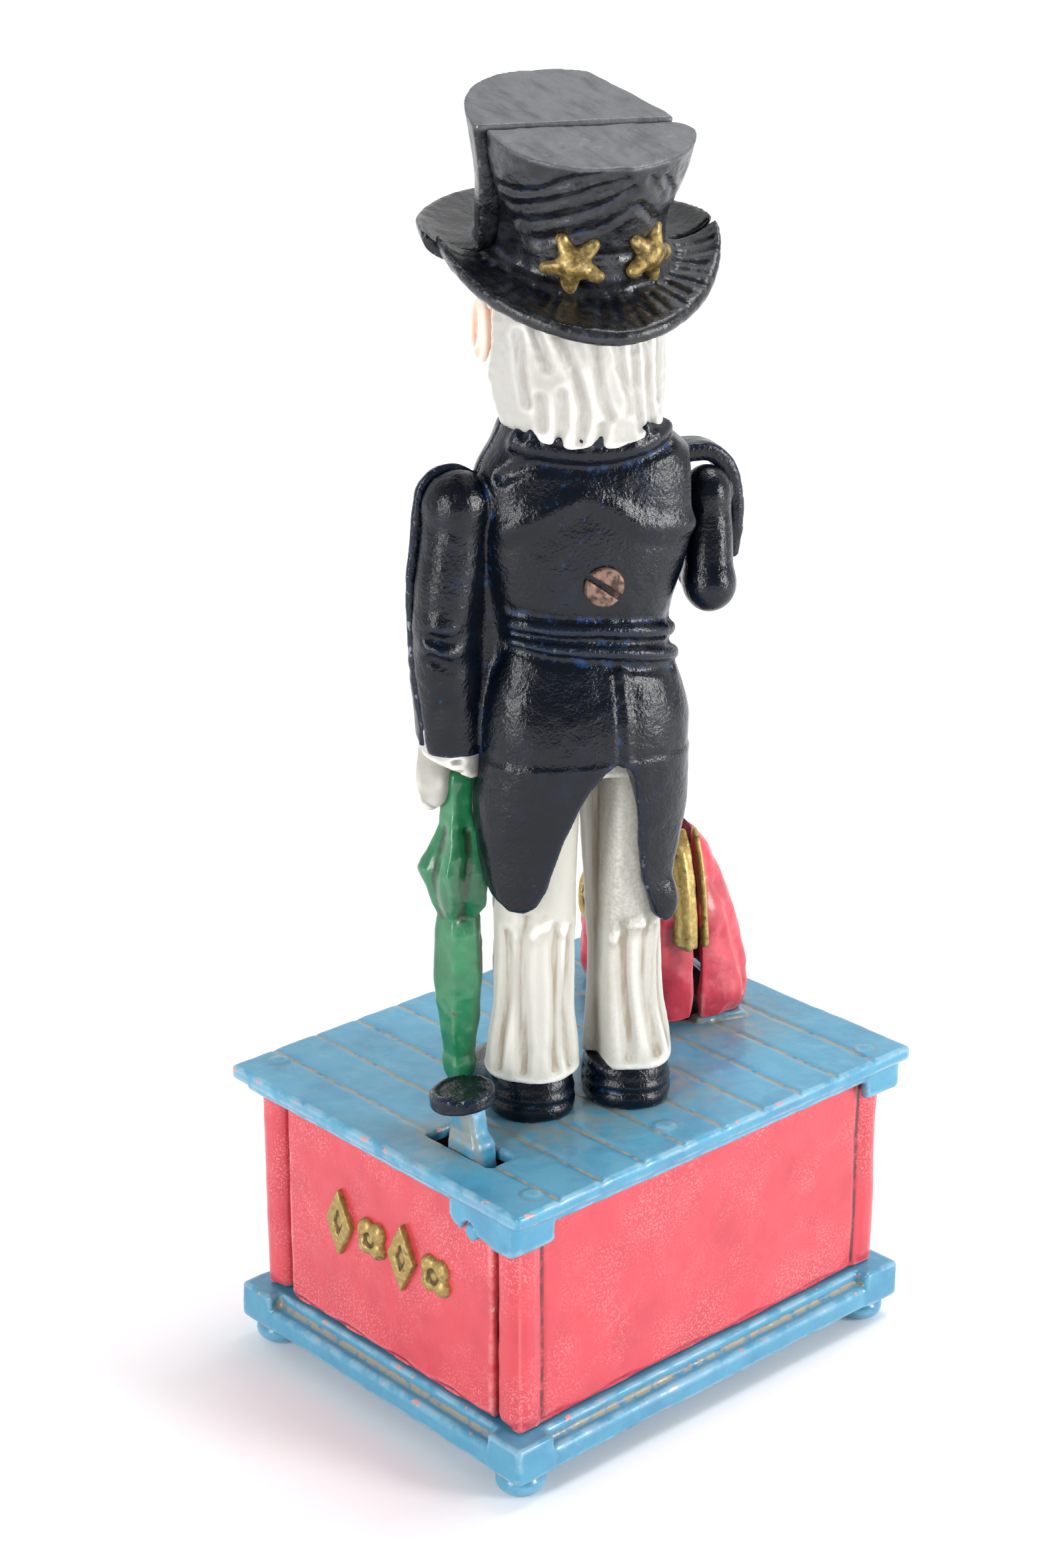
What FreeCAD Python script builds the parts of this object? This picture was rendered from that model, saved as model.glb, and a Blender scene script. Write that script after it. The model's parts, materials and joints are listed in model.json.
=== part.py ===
"""A painted cast-iron mechanical coin bank, in millimetres.

A hollow box with a planked deck carries a standing figure in a top hat, an umbrella and a
travelling bag.  Pressing the button rocks a shaft that lies across the box: its first arm
pulls the push rod down, which lowers the figure's right arm and lets the beard nod, and
its second arm opens the moving half of the bag.  Coins fall through the bag into the box.

Frame: +Z up, the floor is Z = 0, the deck's centre is over the origin, the front is -Y.
The figure and the bag each have a frame of their own, turned about Z.
"""

import FreeCAD, Part
import math
import os

import Sketcher
from FreeCAD import Placement, Rotation, Vector

doc = FreeCAD.newDocument("MechanicalBank")
sheet = doc.addObject("Spreadsheet::Sheet", "Dimensions")

X_AXIS = Vector(1, 0, 0)
Y_AXIS = Vector(0, 1, 0)
Z_AXIS = Vector(0, 0, 1)
FREE = 0.02          # play of a pressed or bolted joint, per side

DIMENSIONS = {
    # deck, the lid of the box
    "deck_w": 120, "deck_d": 96, "deck_top": 69.5, "deck_plate": 3, "skirt_low": 63.3,
    "skirt_inner_w": 112.6, "skirt_inner_d": 87.6, "skirt_cove": 2.6,
    "plank_w": 12, "groove_w": 1.1, "groove_depth": 0.5,
    "bracket_t": 2.2, "bracket_front": 26, "bracket_low": 59.3,
    # walls
    "wall_w": 112, "wall_d": 87, "wall_t": 2.5, "wall_low": 14.5, "post_w": 8.5,
    "post_round": 3, "field_sink": 0.8, "field_border": 3.2, "side_sink": 0.6,
    "side_gap": 1.2,
    # base with its moulding and feet
    "base_w": 119, "base_d": 95, "base_low": 5.7, "band_high": 10.2, "cove_r": 2.9,
    "base_floor": 3, "rim_w": 113, "rim_d": 89, "hollow_w": 101, "hollow_d": 77,
    "corner_block": 10.5, "foot_r": 5.3, "foot_inset": 6.2, "foot_round": 2.2,
    # trap in the floor, screws that tie deck and base
    "trap_x": -6, "trap_y": -12, "trap_r": 14, "trap_cover_r": 17, "trap_cover_t": 1.6,
    "trap_pivot": 21, "stud_r": 3.6, "tie_r": 1.5, "tie_head_r": 3, "tie_head_t": 1.8,
    "tie_length": 16, "stud_back_x": -46.5, "stud_front_x": 46.5, "stud_front_y": -34.5,
    "stud_rear_y": 20, "stud_inner_x": 33,
    # rocker shaft, lever and button
    "shaft_y": 31.5, "shaft_z": 59.2, "shaft_r": 1.9, "shaft_play": 0.1, "shaft_l": 117,
    "lever_x": 46, "lever_t": 4, "lever_hub_r": 4.4, "slot_w": 7, "slot_front": 7.4,
    "slot_rear": 27, "button_y": 15.2, "button_z": 79.6, "button_r": 6.9,
    "button_t": 3.1, "button_lean": 8,
    "arm_t": 2.4, "arm_hub_r": 3.9, "pin_r": 1, "pin_play": 0.35,
    "spring_y": 17, "spring_r": 2.9, "spring_wire": 0.45, "spring_turns": 11,
    # figure
    "figure_x": 13.5, "figure_y": 15.3, "figure_yaw": -25, "skin": 2.4,
    "rod_fx": -9.4, "rod_fy": -4.2, "rod_r": 1, "rod_top": 225.2, "rod_jog_z": 209.6,
    "tail_fx": -5, "pivot_z": 203, "pivot_r": 2, "pivot_play": 0.08, "crank_r": 5.6,
    "crank_rise": 23, "beard_pivot_fy": -10.5, "beard_pivot_z": 228.5, "beard_pin_r": 0.8,
    "screw_fx": -0.8, "screw_z": 189, "screw_head_r": 3.9, "screw_r": 1.7,
    "umbrella_fx": 25.3, "umbrella_fy": -4,
    "hat_tilt": 18, "hat_z": 250, "hat_fy": -4,
    # bag
    "bag_x": -38.5, "bag_y": -11.7, "bag_yaw": -20, "bag_half_w": 13.5,
    "bag_half_l": 21.5, "bag_h": 49, "bag_skin": 2, "bag_gap": 0.8, "bag_lift": 1.3, "bag_screw_in": 8.2,
    "frame_w": 4.2, "frame_t": 0.9, "frame_drop": 20, "medal_r": 6.2,
    "chute_w": 10, "chute_l": 33, "hinge_out": 10.5, "hinge_z": 63.8, "hinge_r": 1.6,
    "hinge_rear": 43, "jaw_crank": 14, "jaw_reach_z": 56.7,
}


def fill_sheet():
    """Writes the driving dimensions, one a row, each with its alias."""
    for row, (alias, value) in enumerate(DIMENSIONS.items(), start=1):
        sheet.set(f"A{row}", alias)
        sheet.set(f"B{row}", str(value))
        sheet.setAlias(f"B{row}", alias)
    doc.recompute()


def dim(alias):
    """The value of one driving dimension."""
    return float(sheet.get(alias))


def bind(obj, **expressions):
    """Binds properties of obj to expressions in the sheet's aliases."""
    for name, text in expressions.items():
        obj.setExpression(name.replace("__", "."), in_sheet(text))


def in_sheet(text):
    """Prefixes each alias in an expression with the sheet's name."""
    words, word = [], ""
    for char in str(text) + " ":
        if char.isalnum() or char in "_.":
            word += char
            continue
        words.append(f"Dimensions.{word}" if word in DIMENSIONS else word)
        words.append(char)
        word = ""
    return "".join(words).strip()


def value_of(text):
    """What an expression in the sheet's aliases comes to."""
    found = sheet.evalExpression(in_sheet(text))
    return float(getattr(found, "Value", found))


# ---------------------------------------------------------------- PartDesign helpers
def new_body(label):
    body = doc.addObject("PartDesign::Body", label)
    body.Label = label
    return body


def on_plane(body, name, plane, height="0"):
    """A sketch on one of the body's origin planes, lifted along its normal."""
    sketch = body.newObject("Sketcher::SketchObject", name)
    support = [f for f in body.Origin.OriginFeatures if f.Role == plane][0]
    sketch.AttachmentSupport = (support, "")
    sketch.MapMode = "FlatFace"
    sketch.setExpression("AttachmentOffset.Base.z", in_sheet(height))
    return sketch


def fix_point(sketch, geometry, corner, x_text, y_text):
    """Holds a point of the sketch at a place given by two expressions."""
    for kind, text in (("DistanceX", x_text), ("DistanceY", y_text)):
        index = sketch.addConstraint(
            Sketcher.Constraint(kind, -1, 1, geometry, corner, value_of(text)))
        name = f"{kind}_{geometry}_{corner}"
        sketch.renameConstraint(index, name)
        sketch.setExpression(f"Constraints.{name}", in_sheet(text))


def add_outline(sketch, points):
    """A closed outline of straight edges whose corners are pairs of expressions."""
    spots = [Vector(value_of(x), value_of(y), 0) for x, y in points]
    first = sketch.GeometryCount
    count = len(spots)
    for i in range(count):
        sketch.addGeometry(Part.LineSegment(spots[i], spots[(i + 1) % count]), False)
    for i in range(count):
        sketch.addConstraint(Sketcher.Constraint(
            "Coincident", first + i, 2, first + (i + 1) % count, 1))
    for i, (x_text, y_text) in enumerate(points):
        fix_point(sketch, first + i, 1, x_text, y_text)


def add_rectangle(sketch, x_low, y_low, x_high, y_high):
    add_outline(sketch, [(x_low, y_low), (x_high, y_low), (x_high, y_high), (x_low, y_high)])


def add_centred(sketch, width, depth):
    add_rectangle(sketch, f"-{width}/2", f"-{depth}/2", f"{width}/2", f"{depth}/2")


def add_circle(sketch, x_text, y_text, radius):
    centre = Vector(value_of(x_text), value_of(y_text), 0)
    ring = sketch.addGeometry(Part.Circle(centre, Z_AXIS, value_of(radius)), False)
    fix_point(sketch, ring, 3, x_text, y_text)
    index = sketch.addConstraint(Sketcher.Constraint("Radius", ring, value_of(radius)))
    sketch.renameConstraint(index, f"Radius_{ring}")
    sketch.setExpression(f"Constraints.Radius_{ring}", in_sheet(radius))


def pad(body, sketch, length, midplane=False, back=False):
    feature = body.newObject("PartDesign::Pad", f"{body.Name}_pad")
    feature.Profile = sketch
    feature.Midplane = midplane
    feature.Reversed = back
    feature.setExpression("Length", in_sheet(length))
    doc.recompute()
    return feature


def pocket(body, sketch, length, midplane=False, back=False):
    """Cuts the sketch out of the body, and makes sure that it cut something."""
    before = body.Shape.Volume
    feature = body.newObject("PartDesign::Pocket", f"{body.Name}_pocket")
    feature.Profile = sketch
    feature.Midplane = midplane
    feature.Reversed = back
    feature.setExpression("Length", in_sheet(length))
    doc.recompute()
    if body.Shape.Volume > before - 1e-3:
        raise RuntimeError(f"{body.Label}: {feature.Name} cuts nothing")
    return feature


def edges_where(feature, test):
    """The names of the feature's edges whose ends and middle all pass a test."""
    names = []
    for number, edge in enumerate(feature.Shape.Edges, start=1):
        spots = [v.Point for v in edge.Vertexes]
        spots.append(edge.valueAt((edge.FirstParameter + edge.LastParameter) / 2))
        if all(test(p) for p in spots):
            names.append(f"Edge{number}")
    return names


def dress(body, kind, size, test):
    """A Fillet or a Chamfer on the edges of the body's tip that pass a test."""
    base = body.Tip
    names = edges_where(base, test)
    feature = body.newObject(f"PartDesign::{kind}", f"{body.Name}_{kind.lower()}")
    feature.Base = (base, names)
    feature.setExpression("Radius" if kind == "Fillet" else "Size", in_sheet(size))
    doc.recompute()
    return feature


def near(a, b, gap=1e-3):
    return abs(a - b) < gap


# ---------------------------------------------------------------- Part helpers
def primitive(kind, name, place=None, **expressions):
    """A Part primitive whose sizes are bound to expressions."""
    obj = doc.addObject(f"Part::{kind}", name)
    bind(obj, **expressions)
    if place is not None:
        obj.Placement = place
    return obj


def cylinder(name, x, y, z, radius, height, direction=Z_AXIS):
    """A Part::Cylinder that starts at a point and runs along a direction."""
    place = Placement(Vector(0, 0, 0), Rotation(Z_AXIS, direction))
    return primitive("Cylinder", name, place, Radius=radius, Height=height,
                     Placement__Base__x=x, Placement__Base__y=y, Placement__Base__z=z)


def fuse(name, members):
    obj = doc.addObject("Part::MultiFuse", name)
    obj.Shapes = members
    obj.Refine = True
    return obj


def cut(name, base, tool):
    obj = doc.addObject("Part::Cut", name)
    obj.Base = base
    obj.Tool = tool
    obj.Refine = True
    return obj


def named(obj, label):
    obj.Label = label
    return obj


def free_form(label, shape, place=None):
    """A piece whose shape is made with Part's own functions."""
    obj = doc.addObject("Part::Feature", label)
    obj.Label = label
    obj.Shape = shape
    if place is not None:
        obj.Placement = place
    return obj


def figure_place():
    return Placement(Vector(dim("figure_x"), dim("figure_y"), 0),
                     Rotation(Z_AXIS, dim("figure_yaw")))


def bag_place():
    return Placement(Vector(dim("bag_x"), dim("bag_y"), dim("deck_top")),
                     Rotation(Z_AXIS, dim("bag_yaw")))


def in_figure(x, y, z=0.0):
    """A point of the figure's frame in the bank's frame."""
    return figure_place().multVec(Vector(x, y, z))


def oval(centre, rx, ry, normal=Z_AXIS):
    """An ellipse of half-widths rx and ry across a direction, parted at its +-Y ends."""
    quarter = math.pi / 2
    if rx > ry:
        ring, start = Part.Ellipse(Vector(rx, 0, 0), Vector(0, ry, 0), Vector(0, 0, 0)), quarter
    elif ry > rx:
        ring, start = Part.Ellipse(Vector(0, ry, 0), Vector(-rx, 0, 0), Vector(0, 0, 0)), 0
    else:
        ring, start = Part.Circle(Vector(0, 0, 0), Z_AXIS, rx), quarter
    halves = [ring.toShape(start + 2 * k * quarter, start + (2 * k + 2) * quarter)
              for k in range(2)]
    wire = Part.Wire(halves)
    wire.Placement = Placement(Vector(*centre), Rotation(Z_AXIS, normal)).multiply(wire.Placement)
    return wire


def loft(sections, normal=Z_AXIS):
    """A solid through ovals, each (centre, rx, ry)."""
    return Part.makeLoft([oval(c, rx, ry, normal) for c, rx, ry in sections], True)


def upright(rows, grow=0.0):
    """A solid through level ovals, each (z, x, y, rx, ry), grown by a margin."""
    return loft([((x, y, z), rx + grow, ry + grow) for z, x, y, rx, ry in rows])


def ellipsoid(centre, rx, ry, rz):
    ball = Part.makeSphere(1)
    matrix = FreeCAD.Matrix()
    matrix.scale(rx, ry, rz)
    ball = ball.transformGeometry(matrix)
    ball.translate(Vector(*centre))
    return ball


def limb(spots):
    """A round limb through (x, y, z, r) spots: tapered lengths joined by balls."""
    solid = None
    for (ax, ay, az, ar), (bx, by, bz, br) in zip(spots, spots[1:]):
        start, end = Vector(ax, ay, az), Vector(bx, by, bz)
        along = end - start
        piece = Part.makeLoft([oval(start, ar, ar, along), oval(end, br, br, along)], True)
        solid = piece if solid is None else solid.fuse(piece)
    for x, y, z, r in spots:
        solid = solid.fuse(Part.makeSphere(r, Vector(x, y, z)))
    return solid


def rod_between(start, end, radius):
    along = Vector(*end) - Vector(*start)
    return Part.makeCylinder(radius, along.Length, Vector(*start), along)


def block(x_low, x_high, y_low, y_high, z_low, z_high):
    return Part.makeBox(x_high - x_low, y_high - y_low, z_high - z_low,
                        Vector(x_low, y_low, z_low))


# ---------------------------------------------------------------- the box
def base_plate():
    """The floor with its moulded plinth, corner blocks, coin hole and four feet."""
    body = new_body("base_plate")
    band = on_plane(body, "base_band", "XY_Plane", "base_low")
    add_centred(band, "base_w", "base_d")
    pad(body, band, "band_high - base_low")
    rim = on_plane(body, "base_rim", "XY_Plane", "band_high")
    add_centred(rim, "rim_w", "rim_d")
    pad(body, rim, "wall_low - band_high")
    high, half_w, half_d = dim("band_high"), dim("rim_w") / 2, dim("rim_d") / 2
    dress(body, "Fillet", "cove_r", lambda p: near(p.z, high)
          and abs(p.x) < half_w + 0.01 and abs(p.y) < half_d + 0.01)
    corners = on_plane(body, "base_corners", "XY_Plane", "base_low")
    for x_side in ("-1", "1"):
        for y_side in ("-1", "1"):
            add_rectangle(corners, f"{x_side}*(base_w/2 - corner_block)",
                          f"{y_side}*(base_d/2 - corner_block)",
                          f"{x_side}*base_w/2", f"{y_side}*base_d/2")
    pad(body, corners, "wall_low - base_low - 0.6")
    block_top = dim("wall_low") - 0.6
    half_bw, half_bd = dim("base_w") / 2, dim("base_d") / 2
    dress(body, "Chamfer", "cove_r - 0.4", lambda p: near(p.z, block_top)
          and (near(abs(p.x), half_bw) or near(abs(p.y), half_bd)))
    hollow = on_plane(body, "base_hollow", "XY_Plane", "wall_low")
    add_centred(hollow, "hollow_w", "hollow_d")
    pocket(body, hollow, "wall_low - base_low - base_floor")
    feet = on_plane(body, "base_feet", "XY_Plane", "0")
    for x_side in ("-1", "1"):
        for y_side in ("-1", "1"):
            add_circle(feet, f"{x_side}*(base_w/2 - foot_inset)",
                       f"{y_side}*(base_d/2 - foot_inset)", "foot_r")
    pad(body, feet, "base_low + 0.5")
    dress(body, "Fillet", "foot_round", lambda p: near(p.z, 0))
    holes = on_plane(body, "base_holes", "XY_Plane", "base_low")
    add_circle(holes, "trap_x", "trap_y", "trap_r")
    add_circle(holes, "trap_x + trap_pivot", "trap_y", f"tie_r + {FREE}")
    for x_text, y_text in STUDS:
        add_circle(holes, x_text, y_text, "tie_r + 0.2")
    pocket(body, holes, "base_floor * 4", midplane=True)


STUDS = [("stud_front_x", "stud_front_y"), ("stud_back_x", "stud_front_y"),
         ("stud_back_x", "stud_rear_y"), ("stud_inner_x", "stud_rear_y")]


def end_panel(label, side):
    """The front (side -1) or back (side 1) wall, cast with a rounded post at each end."""
    body = new_body(label)
    outer, inner = f"{side}*wall_d/2", f"{side}*(wall_d/2 - wall_t)"
    post = f"{side}*(wall_d/2 - post_w)"
    plan = on_plane(body, f"{label}_plan", "XY_Plane", "wall_low")
    add_outline(plan, [
        ("-wall_w/2", outer), ("wall_w/2", outer), ("wall_w/2", post),
        ("wall_w/2 - wall_t", post), ("wall_w/2 - wall_t", inner),
        ("wall_t - wall_w/2", inner), ("wall_t - wall_w/2", post), ("-wall_w/2", post)])
    pad(body, plan, "deck_top - deck_plate - wall_low")
    half_w, half_d = dim("wall_w") / 2, dim("wall_d") / 2
    dress(body, "Fillet", "post_round",
          lambda p: near(abs(p.x), half_w) and near(abs(p.y), half_d))
    field = on_plane(body, f"{label}_field", "XZ_Plane", f"-1*({outer})")
    add_rectangle(field, "post_w - wall_w/2", "wall_low + field_border",
                  "wall_w/2 - post_w", "skirt_low - field_border + 0.8")
    pocket(body, field, "field_sink * 2", midplane=True)


def side_panel(label, side):
    """The left (side 1) or right (side -1) wall, with a notch where the shaft turns."""
    body = new_body(label)
    outline = on_plane(body, f"{label}_outline", "YZ_Plane",
                       f"{side}*(wall_w/2 - side_sink - wall_t/2)")
    front = "post_w + side_gap - wall_d/2"
    rear = f"wall_d/2 - post_w - {FREE}"
    add_rectangle(outline, front, "wall_low", rear, "deck_top - deck_plate")
    pad(body, outline, "wall_t", midplane=True)
    notch = on_plane(body, f"{label}_notch", "YZ_Plane", f"{side}*wall_w/2")
    add_rectangle(notch, "shaft_y - shaft_r - shaft_play", "shaft_z",
                  "shaft_y + shaft_r + shaft_play", "deck_top")
    pocket(body, notch, "wall_t * 6", midplane=True)
    seat = on_plane(body, f"{label}_seat", "YZ_Plane", f"{side}*wall_w/2")
    add_circle(seat, "shaft_y", "shaft_z", "shaft_r + shaft_play")
    pocket(body, seat, "wall_t * 6", midplane=True)


def bracket(side):
    """The scrolled bracket under one end of the deck, arched over the shaft's end."""
    body = new_body(f"deck_bracket_{'left' if side == '1' else 'right'}")
    low = "bracket_low"
    shape = on_plane(body, f"{body.Name}_outline", "YZ_Plane",
                     f"{side}*(skirt_inner_w + bracket_t)/2")
    add_outline(shape, [
        ("bracket_front", "skirt_low + 0.5"), ("bracket_front + 0.6", "skirt_low - 1.6"),
        ("bracket_front + 2", f"{low} + 0.9"), ("bracket_front + 3", low),
        ("shaft_y - shaft_r - 0.5", low), ("shaft_y - shaft_r - 0.4", "shaft_z + 0.6"),
        ("shaft_y - 1.4", "shaft_z + shaft_r + 0.5"),
        ("shaft_y + 1.4", "shaft_z + shaft_r + 0.5"),
        ("shaft_y + shaft_r + 0.4", "shaft_z + 0.6"), ("shaft_y + 5.5", f"{low} + 0.2"),
        ("shaft_y + 7.5", f"{low} - 0.5"), ("skirt_inner_d/2 - 1.5", f"{low} - 0.5"),
        ("skirt_inner_d/2 + 1.6", f"{low} + 0.6"), ("skirt_inner_d/2 + 1.6", "skirt_low + 0.5")])
    pad(body, shape, "bracket_t", midplane=True)
    return body


def top_plate():
    """The planked deck with its skirt, studs, hinge lugs and the holes cut through it."""
    body = new_body("deck_casting")
    slab = on_plane(body, "deck_slab", "XY_Plane", "skirt_low")
    add_centred(slab, "deck_w", "deck_d")
    pad(body, slab, "deck_top - skirt_low")
    half_w, half_d, low = dim("deck_w") / 2, dim("deck_d") / 2, dim("skirt_low")
    dress(body, "Chamfer", "skirt_cove", lambda p: near(p.z, low)
          and (near(abs(p.x), half_w) or near(abs(p.y), half_d)))
    inside = on_plane(body, "deck_inside", "XY_Plane", "skirt_low")
    add_centred(inside, "skirt_inner_w", "skirt_inner_d")
    pocket(body, inside, "deck_top - deck_plate - skirt_low", back=True)
    studs = on_plane(body, "deck_studs", "XY_Plane", "base_low + base_floor")
    for x_text, y_text in STUDS:
        add_circle(studs, x_text, y_text, "stud_r")
    pad(body, studs, "deck_top - base_low - base_floor - 1")
    taps = on_plane(body, "deck_taps", "XY_Plane", "base_low + base_floor")
    for x_text, y_text in STUDS:
        add_circle(taps, x_text, y_text, "tie_r")
    pocket(body, taps, "tie_length - base_floor + 2", back=True)
    groove = on_plane(body, "deck_groove", "XZ_Plane", "0")
    add_outline(groove, [("-4*plank_w - groove_w/2", "deck_top"),
                         ("-4*plank_w", "deck_top - groove_depth"),
                         ("-4*plank_w + groove_w/2", "deck_top")])
    first = pocket(body, groove, "deck_d * 2", midplane=True)
    planks = body.newObject("PartDesign::LinearPattern", "deck_planks")
    planks.Originals = [first]
    planks.Direction = ([f for f in body.Origin.OriginFeatures if f.Role == "X_Axis"][0], [""])
    planks.setExpression("Length", in_sheet("8 * plank_w"))
    planks.Occurrences = 9
    body.Tip = planks
    slot = on_plane(body, "deck_slot", "XY_Plane", "deck_top")
    add_rectangle(slot, "lever_x - slot_w/2", "slot_front", "lever_x + slot_w/2", "slot_rear")
    pocket(body, slot, "deck_plate * 2")
    whole = fuse("deck_with_lugs", [body, bracket("1"), bracket("-1")] + hinge_lugs())
    return named(cut("top_plate", whole, fuse("deck_cuts", deck_cuts())), "top_plate")


def along_bag(across, along, z):
    """A point of the bag's frame, z in the bank's frame."""
    spot = bag_place().multVec(Vector(across, along, 0))
    return Vector(spot.x, spot.y, z)


def turned_box(name, across, along, z, width, length, height):
    """A box centred on a point of the bag's frame and turned with the bag."""
    obj = primitive("Box", name, Length=width, Width=length, Height=height)
    turn = Rotation(Z_AXIS, dim("bag_yaw"))
    corner = turn.multVec(Vector(-value_of(width) / 2, -value_of(length) / 2, 0))
    obj.Placement = Placement(along_bag(across, along, z) + corner, turn)
    return obj


HINGE_LUGS = [-12, 30]


def hinge_lugs():
    """Two lugs under the deck that carry the rod of the bag's moving half."""
    low = dim("hinge_z") - dim("hinge_r") - 1.8
    return [turned_box(f"hinge_lug_{i}", dim("hinge_out"), along, low, "7", "4",
                       f"deck_top - 1 - {low}") for i, along in enumerate(HINGE_LUGS)]


def deck_cuts():
    """Tools for the chute, the hinge rod, the jaw's legs, the push rod and the screws."""
    direction = Rotation(Z_AXIS, dim("bag_yaw")).multVec(Y_AXIS)
    start = along_bag(dim("hinge_out"), -30, dim("hinge_z"))
    bore = primitive("Cylinder", "hinge_bore", Radius="hinge_r + shaft_play", Height="90")
    bore.Placement = Placement(start, Rotation(Z_AXIS, direction))
    tools = [bore, turned_box("chute_cut", 0, 0, dim("deck_top") - 8, "chute_w", "chute_l", "12")]
    for i, along in enumerate(JAW_LEGS):
        tools.append(turned_box(f"jaw_leg_cut_{i}", dim("hinge_out") - 0.5, along,
                                dim("deck_top") - 8, "8", "7", "12"))
    rod = in_figure(dim("rod_fx"), dim("rod_fy"))
    tools.append(cylinder("rod_cut", str(rod.x), str(rod.y), "deck_top - 8", "rod_r + 0.6", "12"))
    for i, (fx, fy) in enumerate(SHOE_SCREWS):
        spot = in_figure(fx, fy)
        tools.append(cylinder(f"shoe_screw_cut_{i}", str(spot.x), str(spot.y),
                              "deck_top - 8", "tie_r + 0.2", "12"))
    for i, along in enumerate(BAG_SCREWS):
        spot = along_bag(-dim("bag_screw_in"), along, 0)
        tools.append(cylinder(f"bag_screw_cut_{i}", str(spot.x), str(spot.y),
                              "deck_top - 8", "1.4", "12"))
    return tools


JAW_LEGS = [-5, 5]
SHOE_SCREWS = [(10.5, -11), (-11, -13)]
BAG_SCREWS = [-8, 13]


def slotted_screw(label, spots, head_r, head_t, shank_r, length, up=Z_AXIS):
    """Identical slotted screws; each spot is the middle of a head's outer face."""
    turned = []
    for spot in spots:
        head = Part.makeCylinder(head_r, head_t, Vector(0, 0, 0), Z_AXIS)
        head = head.makeFillet(head_t * 0.3, [e for e in head.Edges
                                              if near(e.CenterOfMass.z, 0) and len(e.Vertexes) == 1])
        shank = Part.makeCylinder(shank_r, length - head_t, Vector(0, 0, head_t), Z_AXIS)
        slot = block(-head_r * 2, head_r * 2, -head_r * 0.13, head_r * 0.13, -1, head_t * 0.45)
        screw = head.fuse(shank).removeSplitter().cut(slot)
        screw.Placement = Placement(spot, Rotation(Z_AXIS, up))
        turned.append(screw)
    return free_form(label, Part.makeCompound(turned) if len(turned) > 1 else turned[0])


def box_screws():
    low = dim("base_low")
    slotted_screw("base_screws", [Vector(value_of(x), value_of(y), low - dim("tie_head_t"))
                                  for x, y in STUDS], dim("tie_head_r"), dim("tie_head_t"),
                  dim("tie_r"), dim("tie_length"))
    deck_low = dim("deck_top") - dim("deck_plate")
    head = dim("tie_head_t")
    slotted_screw("figure_foot_screws", [Vector(*in_figure(x, y)[:2], deck_low - head)
                                         for x, y in SHOE_SCREWS],
                  dim("tie_head_r"), head, dim("tie_r"), head + 9.5)
    slotted_screw("bag_screws", [along_bag(-dim("bag_screw_in"), along, deck_low - head)
                                 for along in BAG_SCREWS], 2.5, head, 1.2, head + 8)


def trap():
    """The swinging cover of the coin hole and the screw it turns on."""
    body = new_body("trap_cover")
    low = "base_low - trap_cover_t - 0.1"
    disc = on_plane(body, "trap_disc", "XY_Plane", low)
    add_circle(disc, "trap_x", "trap_y", "trap_cover_r")
    pad(body, disc, "trap_cover_t")
    ear = on_plane(body, "trap_ear", "XY_Plane", low)
    add_circle(ear, "trap_x + trap_pivot", "trap_y", "5")
    pad(body, ear, "trap_cover_t")
    tab = on_plane(body, "trap_tab", "XY_Plane", low)
    add_rectangle(tab, "trap_x - trap_cover_r - 4", "trap_y - 4", "trap_x + 1", "trap_y + 4")
    pad(body, tab, "trap_cover_t")
    hole = on_plane(body, "trap_hole", "XY_Plane", low)
    add_circle(hole, "trap_x + trap_pivot", "trap_y", "tie_r + 0.1")
    pocket(body, hole, "trap_cover_t * 4", midplane=True)
    head_z = value_of("base_low - trap_cover_t - 0.2 - tie_head_t")
    slotted_screw("trap_screw", [Vector(value_of("trap_x + trap_pivot"), dim("trap_y"), head_z)],
                  dim("tie_head_r"), dim("tie_head_t"), dim("tie_r"), dim("tie_head_t") + 6)


# ---------------------------------------------------------------- ornaments
def rosette(radius, thickness, petals=4):
    """A flat flower of round petals about a round boss, lying on Z = 0."""
    solid = Part.makeCylinder(radius * 0.5, thickness)
    for k in range(petals):
        turn = 2 * math.pi * (k + 0.5) / petals
        spot = Vector(math.cos(turn) * radius * 0.55, math.sin(turn) * radius * 0.55, 0)
        solid = solid.fuse(Part.makeCylinder(radius * 0.45, thickness, spot))
    return solid.removeSplitter()


def lozenge(half_w, half_h, thickness):
    """A flat diamond lying on Z = 0."""
    corners = [(half_w, 0), (0, half_h), (-half_w, 0), (0, -half_h), (half_w, 0)]
    return Part.Face(Part.makePolygon([Vector(x, y, 0) for x, y in corners])).extrude(
        Vector(0, 0, thickness))


def side_ornaments(label, side):
    """Four raised gilt ornaments in a row on a side wall."""
    face = side * (dim("wall_w") / 2 - dim("side_sink"))
    turn = Rotation(Y_AXIS * side, Z_AXIS, X_AXIS * side)
    solids = []
    for k in range(4):
        solid = lozenge(3.7, 7.6, 1.1) if k % 2 == 0 else rosette(4.6, 1.1)
        solid.Placement = Placement(Vector(face, side * (k - 1.5) * 10.6 + 1.4, 42), turn)
        solids.append(solid)
    free_form(label, Part.makeCompound(solids))


def front_ornament():
    """A gilt five-petalled flower in a ring, on the front wall."""
    face = -(dim("wall_d") / 2 - dim("field_sink"))
    ring = Part.makeCylinder(15, 1.3).cut(Part.makeCylinder(12.6, 1.3))
    flower = rosette(10, 1.3, 5)
    turn = Rotation(X_AXIS, Z_AXIS, Y_AXIS * -1)
    solids = [ring, flower]
    for solid in solids:
        solid.Placement = Placement(Vector(0, face, 38), turn)
    free_form("front_ornament", Part.makeCompound(solids))


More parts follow.
